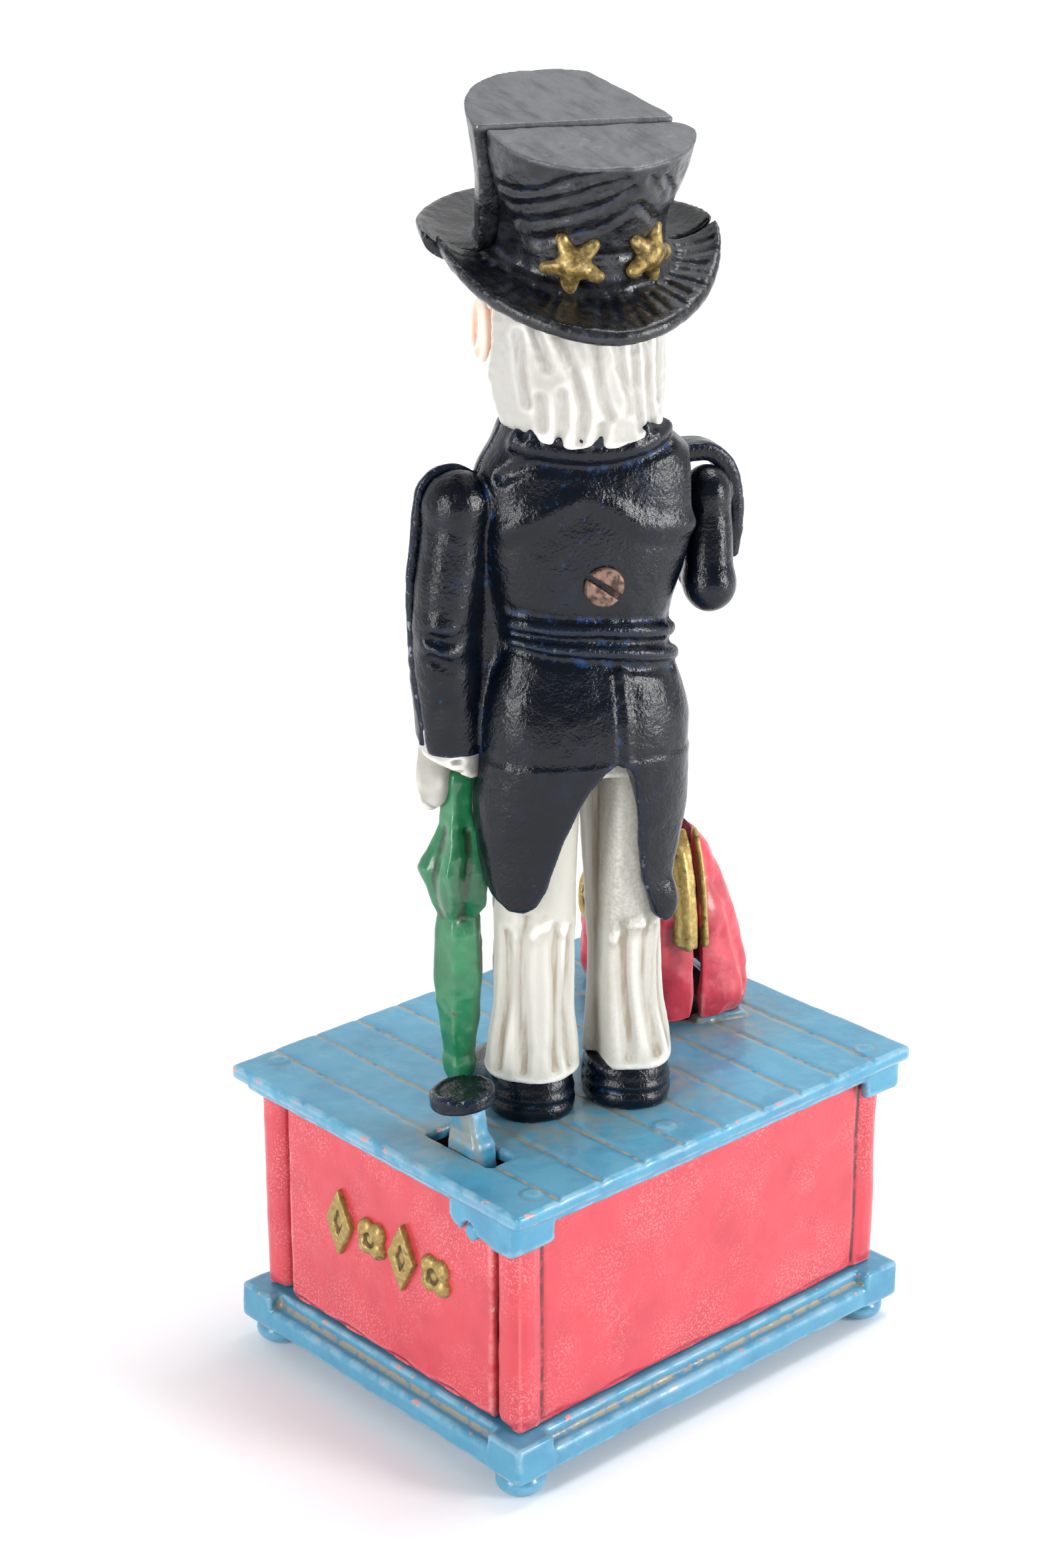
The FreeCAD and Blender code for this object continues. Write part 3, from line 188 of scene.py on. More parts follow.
def puck(centre, radius, half_height, soft=0.0, taper=0.0):
    """An upright round disc with rounded rims; its radius may grow with height."""
    cx, cy, cz = centre

    def field(x, y, z):
        u = np.sqrt((x - cx) ** 2 + (y - cy) ** 2) - (radius - soft) - taper * (z - cz)
        return rounded(u, np.abs(z - cz) - (half_height - soft), soft)

    reach = np.array([radius + abs(taper) * half_height] * 2 + [half_height])
    return Shape(field, np.array(centre) - reach, np.array(centre) + reach)


def stack(rows, power=2.0):
    """Level ovals (z, x, y, half-width, half-depth) joined smoothly from low to high."""
    table = np.array(rows, float)
    slopes = np.gradient(table[:, 1:], table[:, 0], axis=0)

    def field(x, y, z):
        flat = np.clip(np.ravel(z), table[0, 0], table[-1, 0])
        i = np.clip(np.searchsorted(table[:, 0], flat, side="right") - 1, 0, len(table) - 2)
        span = (table[i + 1, 0] - table[i, 0])[:, None]
        t = ((flat - table[i, 0])[:, None]) / span
        row = ((1 + 2 * t) * (1 - t) ** 2 * table[i, 1:] + t * (1 - t) ** 2 * span * slopes[i]
               + t**2 * (3 - 2 * t) * table[i + 1, 1:] + t**2 * (t - 1) * span * slopes[i + 1])
        cx, cy, rx, ry = (row[:, k].astype(np.float32).reshape(np.shape(z)) for k in range(4))
        u, v = np.abs(x - cx) / rx, np.abs(y - cy) / ry
        near = (u**power + v**power) ** (1 / power) + 1e-3
        steep = np.sqrt((u ** (power - 1) / rx) ** 2 + (v ** (power - 1) / ry) ** 2)
        side = near ** (power - 1) * (near - 1) / np.maximum(steep, 1e-6)
        return rounded(side, np.maximum(table[0, 0] - z, z - table[-1, 0]))

    low = [(table[:, 1] - table[:, 3]).min(), (table[:, 2] - table[:, 4]).min(), table[0, 0]]
    high = [(table[:, 1] + table[:, 3]).max(), (table[:, 2] + table[:, 4]).max(), table[-1, 0]]
    return Shape(field, np.array(low) - 2, np.array(high) + 2)


def oval_at(rows, z):
    """The middle and the half sizes of stacked ovals at a height."""
    table = np.array(rows, float)
    return [np.interp(z, table[:, 0], table[:, k]) for k in range(1, 5)]


def outline(points, axis, low, high, soft=0.0):
    """A closed outline drawn across an axis and given a thickness along it."""
    p = np.array(points, float)
    names = [k for k in range(3) if k != axis]
    middle, half = (low + high) / 2, (high - low) / 2 - soft

    def field(x, y, z):
        spot = (x, y, z)
        u, v, w = spot[names[0]], spot[names[1]], spot[axis]
        nearest = np.full(np.broadcast(u, v).shape, 1e9, np.float32)
        sign = np.ones_like(nearest)
        for (ax, ay), (bx, by) in zip(p, np.roll(p, -1, axis=0)):
            ex, ey, wx, wy = bx - ax, by - ay, u - ax, v - ay
            t = np.clip((wx * ex + wy * ey) / (ex * ex + ey * ey), 0, 1)
            nearest = np.minimum(nearest, (wx - ex * t) ** 2 + (wy - ey * t) ** 2)
            one, two, three = v >= ay, v < by, ex * wy > ey * wx
            flip = (one & two & three) | (~one & ~two & ~three)
            sign = np.where(flip, -sign, sign)
        return rounded(sign * np.sqrt(nearest) + soft, np.abs(w - middle) - half, soft)

    lows, highs = np.zeros(3), np.zeros(3)
    lows[names], highs[names] = p.min(axis=0), p.max(axis=0)
    lows[axis], highs[axis] = low, high
    return Shape(field, lows, highs)


def turned(shape, degrees, axis, centre=(0, 0, 0)):
    """The shape turned about an axis (a vector) through a point."""
    turn = Matrix.Rotation(math.radians(degrees), 3, Vector(axis))
    back = np.array(turn.inverted(), np.float32)
    forth = np.array(turn)
    c = np.array(centre, float)

    def field(x, y, z):
        u, v, w = x - c[0], y - c[1], z - c[2]
        return shape.field(*(back[k, 0] * u + back[k, 1] * v + back[k, 2] * w + c[k]
                             for k in range(3)))

    corners = np.where(CORNERS, shape.high, shape.low)
    corners = (corners - c) @ forth.T + c
    return Shape(field, corners.min(axis=0), corners.max(axis=0))


def moved(shape, offset):
    """The shape shifted by an offset."""
    o = np.array(offset, float)
    return Shape(lambda x, y, z: shape.field(x - o[0], y - o[1], z - o[2]),
                 shape.low + o, shape.high + o)


def cell_shares(t):
    """The corners of a cell, each with its share at places t (0 to 1) inside the cell."""
    for i, j, k in CORNERS:
        yield i, j, k, (np.abs(1 - i - t[:, 0]) * np.abs(1 - j - t[:, 1])
                        * np.abs(1 - k - t[:, 2]))


def value_noise(points, size, seed):
    """Smooth random values between -1 and 1 with features of a given size."""
    cells = 32
    table = np.random.default_rng(seed).random((cells,) * 3) * 2 - 1
    p = points / size
    cell = np.floor(p).astype(int)
    t = p - cell
    total = np.zeros(len(points))
    for i, j, k, share in cell_shares(t * t * (3 - 2 * t)):
        total += share * table[tuple(((cell + (i, j, k)) % cells).T)]
    return total


def blend_min(a, b, k):
    """The lower of two fields, rounded where they meet over a width k."""
    if k <= 0:
        return np.minimum(a, b)
    h = np.maximum(k - np.abs(a - b), 0) / k
    return np.minimum(a, b) - h * h * k / 4


class Clay:
    """A block of clay: distances on a grid of points, to which shapes are added or cut."""

    def __init__(self, low, high, step):
        self.step = step * COARSE
        self.axes = [np.arange(a - 2 * self.step, b + 3 * self.step, self.step,
                               dtype=np.float32) for a, b in zip(low, high)]
        self.d = np.full([len(a) for a in self.axes], EMPTY, np.float32)

    def part(self, shape, margin):
        """The slices and the coordinates of the points near a shape."""
        cuts = []
        for axis, low, high in zip(self.axes, shape.low - margin, shape.high + margin):
            start = int(np.clip(np.searchsorted(axis, low), 0, len(axis)))
            cuts.append(slice(start, int(np.clip(np.searchsorted(axis, high), start, len(axis)))))
        x, y, z = (axis[c] for axis, c in zip(self.axes, cuts))
        return tuple(cuts), (x[:, None, None], y[None, :, None], z[None, None, :])

    def add(self, shape, k=0.0, sign=1):
        """Adds a shape, with a fillet of width k; sign -1 cuts it away instead."""
        cuts, spot = self.part(shape, k + 3 * self.step)
        if all(c.stop > c.start for c in cuts):
            self.d[cuts] = sign * blend_min(sign * self.d[cuts], shape.field(*spot), k)
        return self

    def cut(self, shape, k=0.0):
        return self.add(shape, k, -1)

    def keep(self, field, k=0.0):
        """Keeps what lies inside a field, given as a function of x, y and z."""
        x, y, z = self.axes
        spot = (x[:, None, None], y[None, :, None], z[None, None, :])
        self.d = -blend_min(-self.d, -(field(*spot) + 0 * self.d), k)
        return self

    def sample(self, spots):
        """The distances at some spots, between the grid points round each."""
        low = np.array([a[0] for a in self.axes])
        place = np.clip((spots - low) / self.step, 0, np.array(self.d.shape) - 1.001)
        cell = place.astype(int)
        total = np.zeros(len(spots))
        for i, j, k, share in cell_shares(place - cell):
            total += share * np.minimum(self.d[tuple((cell + (i, j, k)).T)], FAR)
        return total

    def skin(self):
        """The surface as vertices and four-sided faces (surface nets)."""
        d = self.d
        for k in range(3):
            np.moveaxis(d, k, 0)[[0, -1]] = EMPTY
        inside = d < 0
        count = np.zeros([n - 1 for n in d.shape], np.int8)
        ends = (slice(None, -1), slice(1, None))
        for i, j, k in CORNERS:
            count += inside[ends[i], ends[j], ends[k]]
        cells = np.argwhere((count > 0) & (count < 8))
        number = np.full(count.shape, -1, np.int64)
        number[tuple(cells.T)] = np.arange(len(cells))
        total, hits = np.zeros((len(cells), 3)), np.zeros(len(cells))
        for axis in range(3):
            one, two = [k for k in range(3) if k != axis]
            for i, j in product((0, 1), repeat=2):
                start = cells.copy()
                start[:, one] += i
                start[:, two] += j
                stop = start.copy()
                stop[:, axis] += 1
                a, b = d[tuple(start.T)], d[tuple(stop.T)]
                cross = (a < 0) != (b < 0)
                spot = start.astype(float)
                spot[:, axis] += np.where(cross, a / np.where(a == b, 1, a - b), 0)
                total += spot * cross[:, None]
                hits += cross
        low = np.array([a[0] for a in self.axes])
        vertices = total / hits[:, None] * self.step + low
        faces = []
        for axis in range(3):
            one, two = (axis + 1) % 3, (axis + 2) % 3
            first, second = [slice(None)] * 3, [slice(None)] * 3
            first[axis], second[axis] = ends
            a, b = inside[tuple(first)], inside[tuple(second)]
            edges = np.argwhere(a != b)
            quad = []
            for i, j in ((0, 0), (1, 0), (1, 1), (0, 1)):
                cell = edges.copy()
                cell[:, one] -= i
                cell[:, two] -= j
                quad.append(number[tuple(cell.T)])
            quad = np.stack(quad, axis=1)
            flip = a[tuple(edges.T)]
            quad[~flip] = quad[~flip][:, ::-1]
            faces.append(quad)
        return vertices, np.concatenate(faces)


def normals_of(vertices, faces):
    """Unit vertex normals of a four-sided mesh."""
    a, b, c, e = (vertices[faces[:, k]] for k in range(4))
    across = np.cross(c - a, e - b)
    total = np.zeros_like(vertices)
    for k in range(4):
        np.add.at(total, faces[:, k], across)
    return total / np.maximum(np.linalg.norm(total, axis=1), 1e-9)[:, None]


def mount(name, mesh, material, body, stands_for):
    """Links a mesh as a piece that rides on a body and stands for some CAD nodes."""
    piece = bpy.data.objects.new(name, mesh)
    bpy.context.scene.collection.objects.link(piece)
    piece.data.materials.append(material)
    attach(piece, body)
    if stands_for:
        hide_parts(*stands_for)
    return piece


def publish(name, clay, material, body, place=Matrix.Identity(4), rough=(), paint=None,
            stands_for=()):
    """Turns clay into a named piece that rides on a body.

    rough lists (height, size) of the bumps that the casting's skin has, and paint is a
    function of the vertices, in the clay's own frame, that gives each its paint number.
    """
    vertices, faces = clay.skin()
    normals = normals_of(vertices, faces)
    reach = 1.1
    wear = -6 * clay.sample(vertices)
    for offset in np.repeat(np.eye(3), 2, axis=0) * np.tile(BOTH, 3)[:, None]:
        wear = wear + clay.sample(vertices + offset * reach)
    for seed, (height, size) in enumerate(rough):
        vertices = vertices + normals * (height * value_noise(vertices, size, seed + 7))[:, None]
    extra = {"wear": np.clip(wear / reach, -2, 2)}
    if paint is not None:
        extra["paint"] = paint(vertices)
    matrix = np.array(place)
    world = (vertices @ matrix[:3, :3].T + matrix[:3, 3]) * MM
    mesh = bpy.data.meshes.new(name)
    mesh.vertices.add(len(world))
    mesh.vertices.foreach_set("co", world.astype(np.float32).ravel())
    mesh.loops.add(faces.size)
    mesh.loops.foreach_set("vertex_index", faces.astype(np.int32).ravel())
    mesh.polygons.add(len(faces))
    mesh.polygons.foreach_set("loop_start", np.arange(0, faces.size, 4, dtype=np.int32))
    mesh.polygons.foreach_set("loop_total", np.full(len(faces), 4, np.int32))
    mesh.polygons.foreach_set("use_smooth", np.ones(len(faces), bool))
    mesh.update()
    mesh.validate()
    for key, numbers in extra.items():
        layer = mesh.attributes.new(key, "FLOAT", "POINT")
        layer.data.foreach_set("value", numbers.astype(np.float32))
    mount(name, mesh, material, body, stands_for)


def linear(hexa):
    """The linear colour of a six-digit sRGB colour."""
    parts = [int(hexa[k:k + 2], 16) / 255 for k in (0, 2, 4)]
    return tuple(((c + 0.055) / 1.055) ** 2.4 if c > 0.04045 else c / 12.92 for c in parts) + (1,)


class Paint:
    """Builds a material's nodes: layers of colour, a roughness and a bump."""

    def __init__(self, name, base):
        self.material = bpy.data.materials.new(name)
        self.material.use_nodes = True
        self.nodes = self.material.node_tree.nodes
        self.links = self.material.node_tree.links
        self.shader = self.nodes["Principled BSDF"]
        self.where = self.nodes.new("ShaderNodeTexCoord").outputs["Object"]
        colour = self.nodes.new("ShaderNodeRGB")
        colour.outputs[0].default_value = linear(base)
        self.colour = colour.outputs[0]
        self.height = None
        self.rough = None

    def noise(self, size, detail, stretch=(1, 1, 1), seed=0.0):
        """A noise whose features measure about size millimetres."""
        mapping = self.nodes.new("ShaderNodeMapping")
        mapping.inputs["Scale"].default_value = stretch
        mapping.inputs["Location"].default_value = (seed, seed * 0.7, -seed)
        self.links.new(self.where, mapping.inputs["Vector"])
        node = self.nodes.new("ShaderNodeTexNoise")
        node.inputs["Scale"].default_value = 1 / (size * MM)
        node.inputs["Detail"].default_value = detail
        node.inputs["Roughness"].default_value = 0.55
        self.links.new(mapping.outputs[0], node.inputs["Vector"])
        return node.outputs["Fac"]

    def attribute(self, name):
        node = self.nodes.new("ShaderNodeAttribute")
        node.attribute_name = name
        return node.outputs["Fac"]

    def ramp(self, value, low, high):
        """0 below low and 1 above high (or the other way round)."""
        node = self.nodes.new("ShaderNodeMapRange")
        node.interpolation_type = "SMOOTHSTEP"
        node.clamp = True
        ends = (low, high, 0, 1) if low < high else (high, low, 1, 0)
        for key, number in zip(("From Min", "From Max", "To Min", "To Max"), ends):
            node.inputs[key].default_value = number
        self.links.new(value, node.inputs["Value"])
        return node.outputs["Result"]

    def math(self, kind, one, two):
        node = self.nodes.new("ShaderNodeMath")
        node.operation = kind
        for socket, value in zip(node.inputs, (one, two)):
            if isinstance(value, (int, float)):
                socket.default_value = value
            else:
                self.links.new(value, socket)
        return node.outputs[0]

    def both(self, one, two):
        """The product of two masks, or of a mask and a number."""
        return self.math("MULTIPLY", one, two)

    def spots(self, size, detail, low, high, seed=0, stretch=(1, 1, 1)):
        """A mask of cloudy spots that measure about size millimetres."""
        return self.ramp(self.noise(size, detail, stretch, seed), low, high)

    def worn(self, low, high):
        """A mask of the edges (high above low) or of the hollows (high below low)."""
        return self.ramp(self.attribute("wear"), low, high)

    def layer(self, colour, mask):
        """Paints a colour where the mask is 1."""
        node = self.nodes.new("ShaderNodeMix")
        node.data_type = "RGBA"
        self.links.new(mask, node.inputs["Factor"])
        self.links.new(self.colour, node.inputs["A"])
        node.inputs["B"].default_value = linear(colour)
        self.colour = node.outputs["Result"]
        return self

    def bump(self, value, height):
        """Adds relief of a height in millimetres."""
        scaled = self.both(value, height * MM)
        self.height = scaled if self.height is None else self.math("ADD", self.height, scaled)
        return self

    def roughen(self, base, mask=None, other=None):
        """The roughness, or a change of it where the mask is 1."""
        if mask is None:
            self.rough = base
            return self
        step = self.both(mask, other - base)
        self.rough = self.math("ADD", step, base if self.rough is None else self.rough)
        return self

    def done(self, coat=0.0, metal=0.0, coat_rough=0.08):
        self.links.new(self.colour, self.shader.inputs["Base Color"])
        if isinstance(self.rough, float):
            self.shader.inputs["Roughness"].default_value = self.rough
        else:
            self.links.new(self.rough, self.shader.inputs["Roughness"])
        self.shader.inputs["Coat Weight"].default_value = coat
        self.shader.inputs["Coat Roughness"].default_value = coat_rough
        self.shader.inputs["Metallic"].default_value = metal
        if self.height is not None:
            node = self.nodes.new("ShaderNodeBump")
            node.inputs["Distance"].default_value = 1.0
            self.links.new(self.height, node.inputs["Height"])
            self.links.new(node.outputs[0], self.shader.inputs["Normal"])
            self.links.new(node.outputs[0], self.shader.inputs["Coat Normal"])
        return self.material


def enamel(name, base, dark, light, edge, gloss=0.28, peel=0.05, coat=0.5, grime=None,
           chip=None, mottle=0.5, dust=0.0):
    """Brushed enamel on cast iron: painted shade in its hollows, patchy painted highlight on its
    edges, orange peel.
    """
    p = Paint(name, base)
    p.layer(dark, p.both(p.spots(14, 4, 0.42, 0.72), mottle))
    p.layer(light, p.both(p.spots(6, 5, 0.5, 0.78, 4), mottle * 0.6))
    # painted shade: the darker colour laid into the hollows
    p.layer(dark, p.both(p.worn(-0.08, -0.5), 0.85))
    if dust:
        grains = p.both(p.spots(0.55, 3, 0.5, 0.62, 7), p.spots(17, 3, 0.4, 0.66, 8))
        p.layer(edge, p.both(grains, dust))
    # painted highlight: pale patches of the edge colour on the edges
    edge_highlight = p.both(p.worn(0.25, 1.0), p.spots(5, 4, 0.36, 0.6, 9))
    p.layer(edge, p.both(edge_highlight, 0.34))
    if grime:
        p.layer(grime, p.both(p.worn(-0.12, -0.55), p.spots(2.2, 4, 0.3, 0.55, 2)))
        dirt = p.both(p.attribute("paint"), p.spots(3.2, 6, 0.3, 0.62, 11))
        p.layer(grime, p.both(dirt, 0.8))
    if chip:
        p.layer(chip, p.both(p.worn(0.55, 0.9), p.spots(3.4, 5, 0.64, 0.67, 5)))
    p.roughen(gloss, p.spots(5, 3, 0.4, 0.7, 3), gloss + 0.14)
    p.bump(p.noise(0.9, 4), peel).bump(p.noise(4.5, 2, seed=6), peel * 3)
    return p.done(coat)


def gilding():
    """Dull gold bronze paint over iron."""
    dark, gloss = "4a3b1f", 0.38
    p = Paint("gold_paint", "a38a4e")
    p.layer("d2bb7c", p.both(p.spots(1.1, 5, 0.45, 0.7), 0.6))
    p.layer(dark, p.both(p.worn(0.0, -0.7), 0.9))
    p.layer(dark, p.both(p.spots(2.4, 5, 0.58, 0.72, 3), 0.7))
    p.layer(dark, p.both(p.attribute("paint"), p.spots(1.6, 6, 0.38, 0.6, 8)))
    p.roughen(gloss, p.spots(1.5, 4, 0.4, 0.65, 5), gloss + 0.18)
    p.bump(p.noise(0.5, 4), 0.05).bump(p.noise(2, 3, seed=2), 0.12)
    return p.done(0.15, metal=0.55)


def black_enamel():
    """Navy-black enamel: blue where it pools or rubs thin, with an orange-peel skin."""
    p = Paint("black_enamel", "030812")
    p.layer("0d1a2e", p.both(p.spots(7, 4, 0.5, 0.8), 0.6))
    p.layer("12345e", p.both(p.worn(-0.15, -0.8), p.spots(2.2, 5, 0.5, 0.7, 2)))
    p.layer("0f3a68", p.both(p.spots(1.3, 6, 0.62, 0.72, 12), p.spots(15, 3, 0.5, 0.7, 13)))
    p.layer("1d2c45", p.both(p.worn(0.3, 1.2), 0.4))
    p.layer("8a8f96", p.both(p.worn(0.7, 1.4), p.spots(1.4, 5, 0.6, 0.66, 6)))
    p.roughen(0.15, p.spots(6, 4, 0.42, 0.68, 8), 0.26)
    p.bump(p.noise(0.75, 3), 0.17).bump(p.noise(2.6, 2, seed=3), 0.16)
    p.shader.inputs["Specular IOR Level"].default_value = 0.27
    return p.done(0.12, coat_rough=0.08)


def hat_enamel():
    """The hat's drier black with brushed streaks, and a painted sheen of streaky grey on the flat
    top of the crown.
    """
    p = Paint("hat_enamel", "0c0e13")
    p.layer("2b2f36", p.both(p.spots(2.2, 6, 0.42, 0.7, 0, (1, 0.25, 1)), 0.7))
    # painted sheen: streaky grey where the paint number is 1, on the crown's flat top
    p.layer("5d5f63", p.both(p.attribute("paint"), p.spots(3, 6, 0.1, 0.6, 5, (1, 0.2, 1))))
    p.layer("0f2340", p.both(p.worn(-0.1, -0.8), p.spots(2.4, 5, 0.48, 0.7, 2)))
    p.layer("4c5057", p.both(p.worn(0.5, 1.3), p.spots(0.9, 5, 0.5, 0.65, 6)))
    p.layer("b8a992", p.both(p.worn(0.8, 1.4), p.spots(2.2, 5, 0.66, 0.7, 9)))
    p.roughen(0.22, p.spots(4, 4, 0.45, 0.65, 8), 0.38)
    p.roughen(0.22, p.attribute("paint"), 0.4)
    p.bump(p.noise(0.7, 4), 0.10).bump(p.noise(2.6, 2, seed=3), 0.16)
    p.shader.inputs["Specular IOR Level"].default_value = 0.4
    return p.done(0.15, coat_rough=0.1)


def white_enamel(name, base, shade, grime, streak=(1, 1, 0.18), strength=0.8):
    """Off-white enamel, brown in its grooves, with a painted highlight on its edges and painted
    shade in grey where the paint number is 1.
    """
    p = Paint(name, base)
    p.layer(shade, p.both(p.spots(5, 4, 0.42, 0.72, 0, streak), 0.7))
    p.layer(grime, p.both(p.worn(-0.02, -0.55),
                          p.both(p.spots(2, 4, 0.3, 0.62, 2, streak), strength)))
    # painted highlight: the edges are painted lighter
    p.layer("efece4", p.both(p.worn(0.1, 0.8), 0.6))
    # painted shade: grey where the paint number is 1
    p.layer("7d7b72", p.both(p.attribute("paint"), p.spots(0.8, 6, 0.2, 0.7, 4)))
    p.roughen(0.42, p.spots(3, 4, 0.45, 0.65, 8), 0.55)
    p.bump(p.noise(0.7, 4), 0.09).bump(p.noise(2.4, 3, seed=3), 0.12)
    return p.done(0.12, coat_rough=0.25)


def eye_enamel():
    """White enamel with a dark pupil where the paint number is 1."""
    p = Paint("eye_enamel", "ecebe4")
    p.layer("cfcabd", p.spots(1.2, 4, 0.5, 0.8))
    p.layer("15171c", p.ramp(p.attribute("paint"), 0.35, 0.65))
    p.roughen(0.3)
    p.bump(p.noise(0.6, 3), 0.02)
    return p.done(0.4)


def bare_metal(name, base, dark, rough=0.35, metal=0.9):
    """Metal without paint, darker in its hollows and in spots."""
    p = Paint(name, base)
    p.layer(dark, p.spots(1.4, 5, 0.42, 0.66))
    p.layer(dark, p.worn(0.0, -0.6))
    p.roughen(rough, p.spots(0.8, 4, 0.4, 0.6, 3), rough + 0.25)
    p.bump(p.noise(0.4, 4), 0.03)
    return p.done(0.0, metal=metal)


BLUE = enamel("blue_enamel", "4794b4", "2b7299", "6bacc6", "b5cfda", 0.32, 0.05, 0.35,
              grime="8d8b7c", chip="c98f8a")
RED = enamel("red_enamel", "cf3a48", "ab2435", "de5c66", "f0b0aa", 0.3, 0.05, 0.4,
             grime="5d0f17", chip="d9c3b4", mottle=0.4, dust=0.3)
BAG_RED = enamel("carpet_red_enamel", "cc3547", "8f1a2a", "e27078", "eeaaa4", 0.36, 0.06, 0.3,
                 grime="74202a", mottle=1.0)
GOLD = gilding()
BLACK = black_enamel()
HAT = hat_enamel()
STEEL = bare_metal("steel", "8d8f92", "55585c")
IRON = bare_metal("dark_iron", "33312f", "1c1a19", 0.55, 0.6)
EYE = eye_enamel()
COPPER = bare_metal("copper_screw", "806456", "3c2a23", 0.42, 0.35)


# ------------------------------------------------------------------ the box
def box_corner(node):
    """A CAD node's lowest and highest corners in millimetres."""
    low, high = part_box(node)
    return np.array(low) / MM, np.array(high) / MM


HALF_W, HALF_D = box_corner("top_plate")[1][:2]
LEVER_X = 46.0


def bag_shape(shape):
    """A shape of the bag's frame in the bank's frame."""
    place = BAG.translation
    return moved(turned(shape, BAG_TURN, (0, 0, 1)), (place.x, place.y, place.z))


def deck_dirt(spots):
    """Grime that gathers round the slot, the shoes and the bag."""
    found = np.zeros(len(spots))
    for x, y, reach in ((LEVER_X, 14, 15), (30, 20, 15), (14, 20, 20), (-2, 22, 17), (-36, 6, 20)):
        gap = np.hypot(spots[:, 0] - x, spots[:, 1] - y)
        found = np.maximum(found, np.clip(1.15 - gap / reach, 0, 0.8))
    return np.where(spots[:, 2] > DECK_TOP - 1.2, found, 0)


def make_deck():
    """The planked deck with its skirt, the brackets over the shaft and the openings."""
    clay = Clay((-HALF_W, -HALF_D, 57.5), (HALF_W, HALF_D, 71.6), 0.6)
    clay.add(slab((0, 0, DECK_TOP - 1.75), (HALF_W - 0.1, HALF_D - 0.1, 1.75), 0.9))
    clay.add(slab((0, 0, 65.3), (HALF_W - 2.4, HALF_D - 2.4, 2.0), 0.8), 1.6)
    clay.cut(slab((0, 0, 61.5), (56.3, 43.8, 5.0), 0.6), 0.4)
    bracket = [(25.6, 66), (25.2, 61.8), (26.6, 59.8), (29, 59.1)] + [
        (SHAFT_Y + y, z) for y, z in ((-2.3, 59.3), (-2.1, 60.4), (-1.2, 61.5), (0, 61.9),
                                      (1.2, 61.5), (2.1, 60.4), (2.4, 59.4), (5, 59.2),
                                      (8, 58.4))] + [(44.8, 58.6), (45.2, 60.4), (45.2, 66)]
    for side in BOTH:
        low, high = sorted((side * 56.4, side * 59.2))
        clay.add(outline(bracket, 0, low, high, 0.7), 1.0)
        clay.add(slab((side * 53, 44.9, 62.2), (5.4, 1.1, 3), 0.8), 0.8)
    for k in range(-4, 5):
        clay.cut(pill((12 * k, -60, DECK_TOP + 0.2), (12 * k, 60, DECK_TOP + 0.2), 0.66), 0.35)
    for x, y in ((9.2, 38.5), (50.6, 41.9), (-50.6, 41.9), (50.6, -42), (-50.6, -42)):
        clay.add(puck((x, y, DECK_TOP - 0.2), 2.3, 0.55, 0.4), 0.25)
    clay.add(bag_shape(slab((-6.9, 0, 0.3), (6.4, 20, 0.85), 0.6)), 0.5)
    clay.cut(slab((LEVER_X, 17.2, 68), (3.5, 9.8, 4), 0.7), 0.5)
    clay.cut(bag_shape(slab((0, 0, -2), (5, 16.5, 6))))
    for along in (-5, 5):
        clay.cut(bag_shape(slab((10, along, -2), (4, 3.5, 6))))
    publish("deck", clay, BLUE, "bank", rough=((0.16, 14), (0.07, 3.0)),
            paint=deck_dirt, stands_for=("top_plate",))


def make_plinth():
    """The moulded foot with corner blocks, four bun feet and the trap's opening."""
    clay = Clay((-60, -48, 0), (60, 48, 15.2), 0.6)
    clay.add(slab((0, 0, 7.9), (59.3, 47.3, 2.25), 1.0))
    clay.add(slab((0, 0, 10.9), (56.3, 44.4, 3.3), 0.7), 2.6)
    rim = [(-58, -46, 9.9), (58, -46, 9.9), (58, 46, 9.9), (-58, 46, 9.9), (-58, -46, 9.9)]
    clay.add(chain(rim, 1.1), 0.9)
    for x, y in product(BOTH, BOTH):
        clay.add(slab((x * 54.2, y * 42.3, 9.9), (5.2, 5.2, 4.3), 0.8), 0.6)
    clay.cut(slab((0, 0, 20), (50.5, 38.5, 11.3), 0.5), 0.3)
    clay.cut(puck((-6, -12, 8), 14, 6))
    for x, y in product(BOTH, BOTH):
        clay.add(ball((x * 53.3, y * 41.3, 3.1), (5.4, 5.4, 3.5)), 0.5)
    clay.keep(lambda x, y, z: 0.05 - z, 0.3)
    publish("plinth", clay, BLUE, "bank", rough=((0.16, 9), (0.07, 2.6)),
            stands_for=("base_plate",))


def make_end_wall(name, side, node):
    """A wall with its corner posts; side is -1 in front and 1 at the back."""
    clay = Clay((-56.2, min(side * 34.6, side * 43.6), 14.3),
                (56.2, max(side * 34.6, side * 43.6), 66), 0.55)
    clay.add(slab((0, side * 41.6, 40.2), (55, 1.3, 25.8), 0.4))
    for x in BOTH:
        clay.add(slab((x * 52.3, side * 39.4, 40.2), (3.7, 4.1, 25.9), 3.4), 0.25)
        clay.cut(pill((x * 48.5, side * 43.3, 10), (x * 48.5, side * 43.3, 70), 0.85), 0.4)
    seam = [(a, side * 43.2, 15 + 0.5 * math.sin(0.31 * a)) for a in range(-48, 49, 4)]
    clay.cut(chain(seam, 0.8), 0.5)
    publish(name, clay, RED, "bank", rough=((0.28, 16), (0.10, 4)), stands_for=(node,))


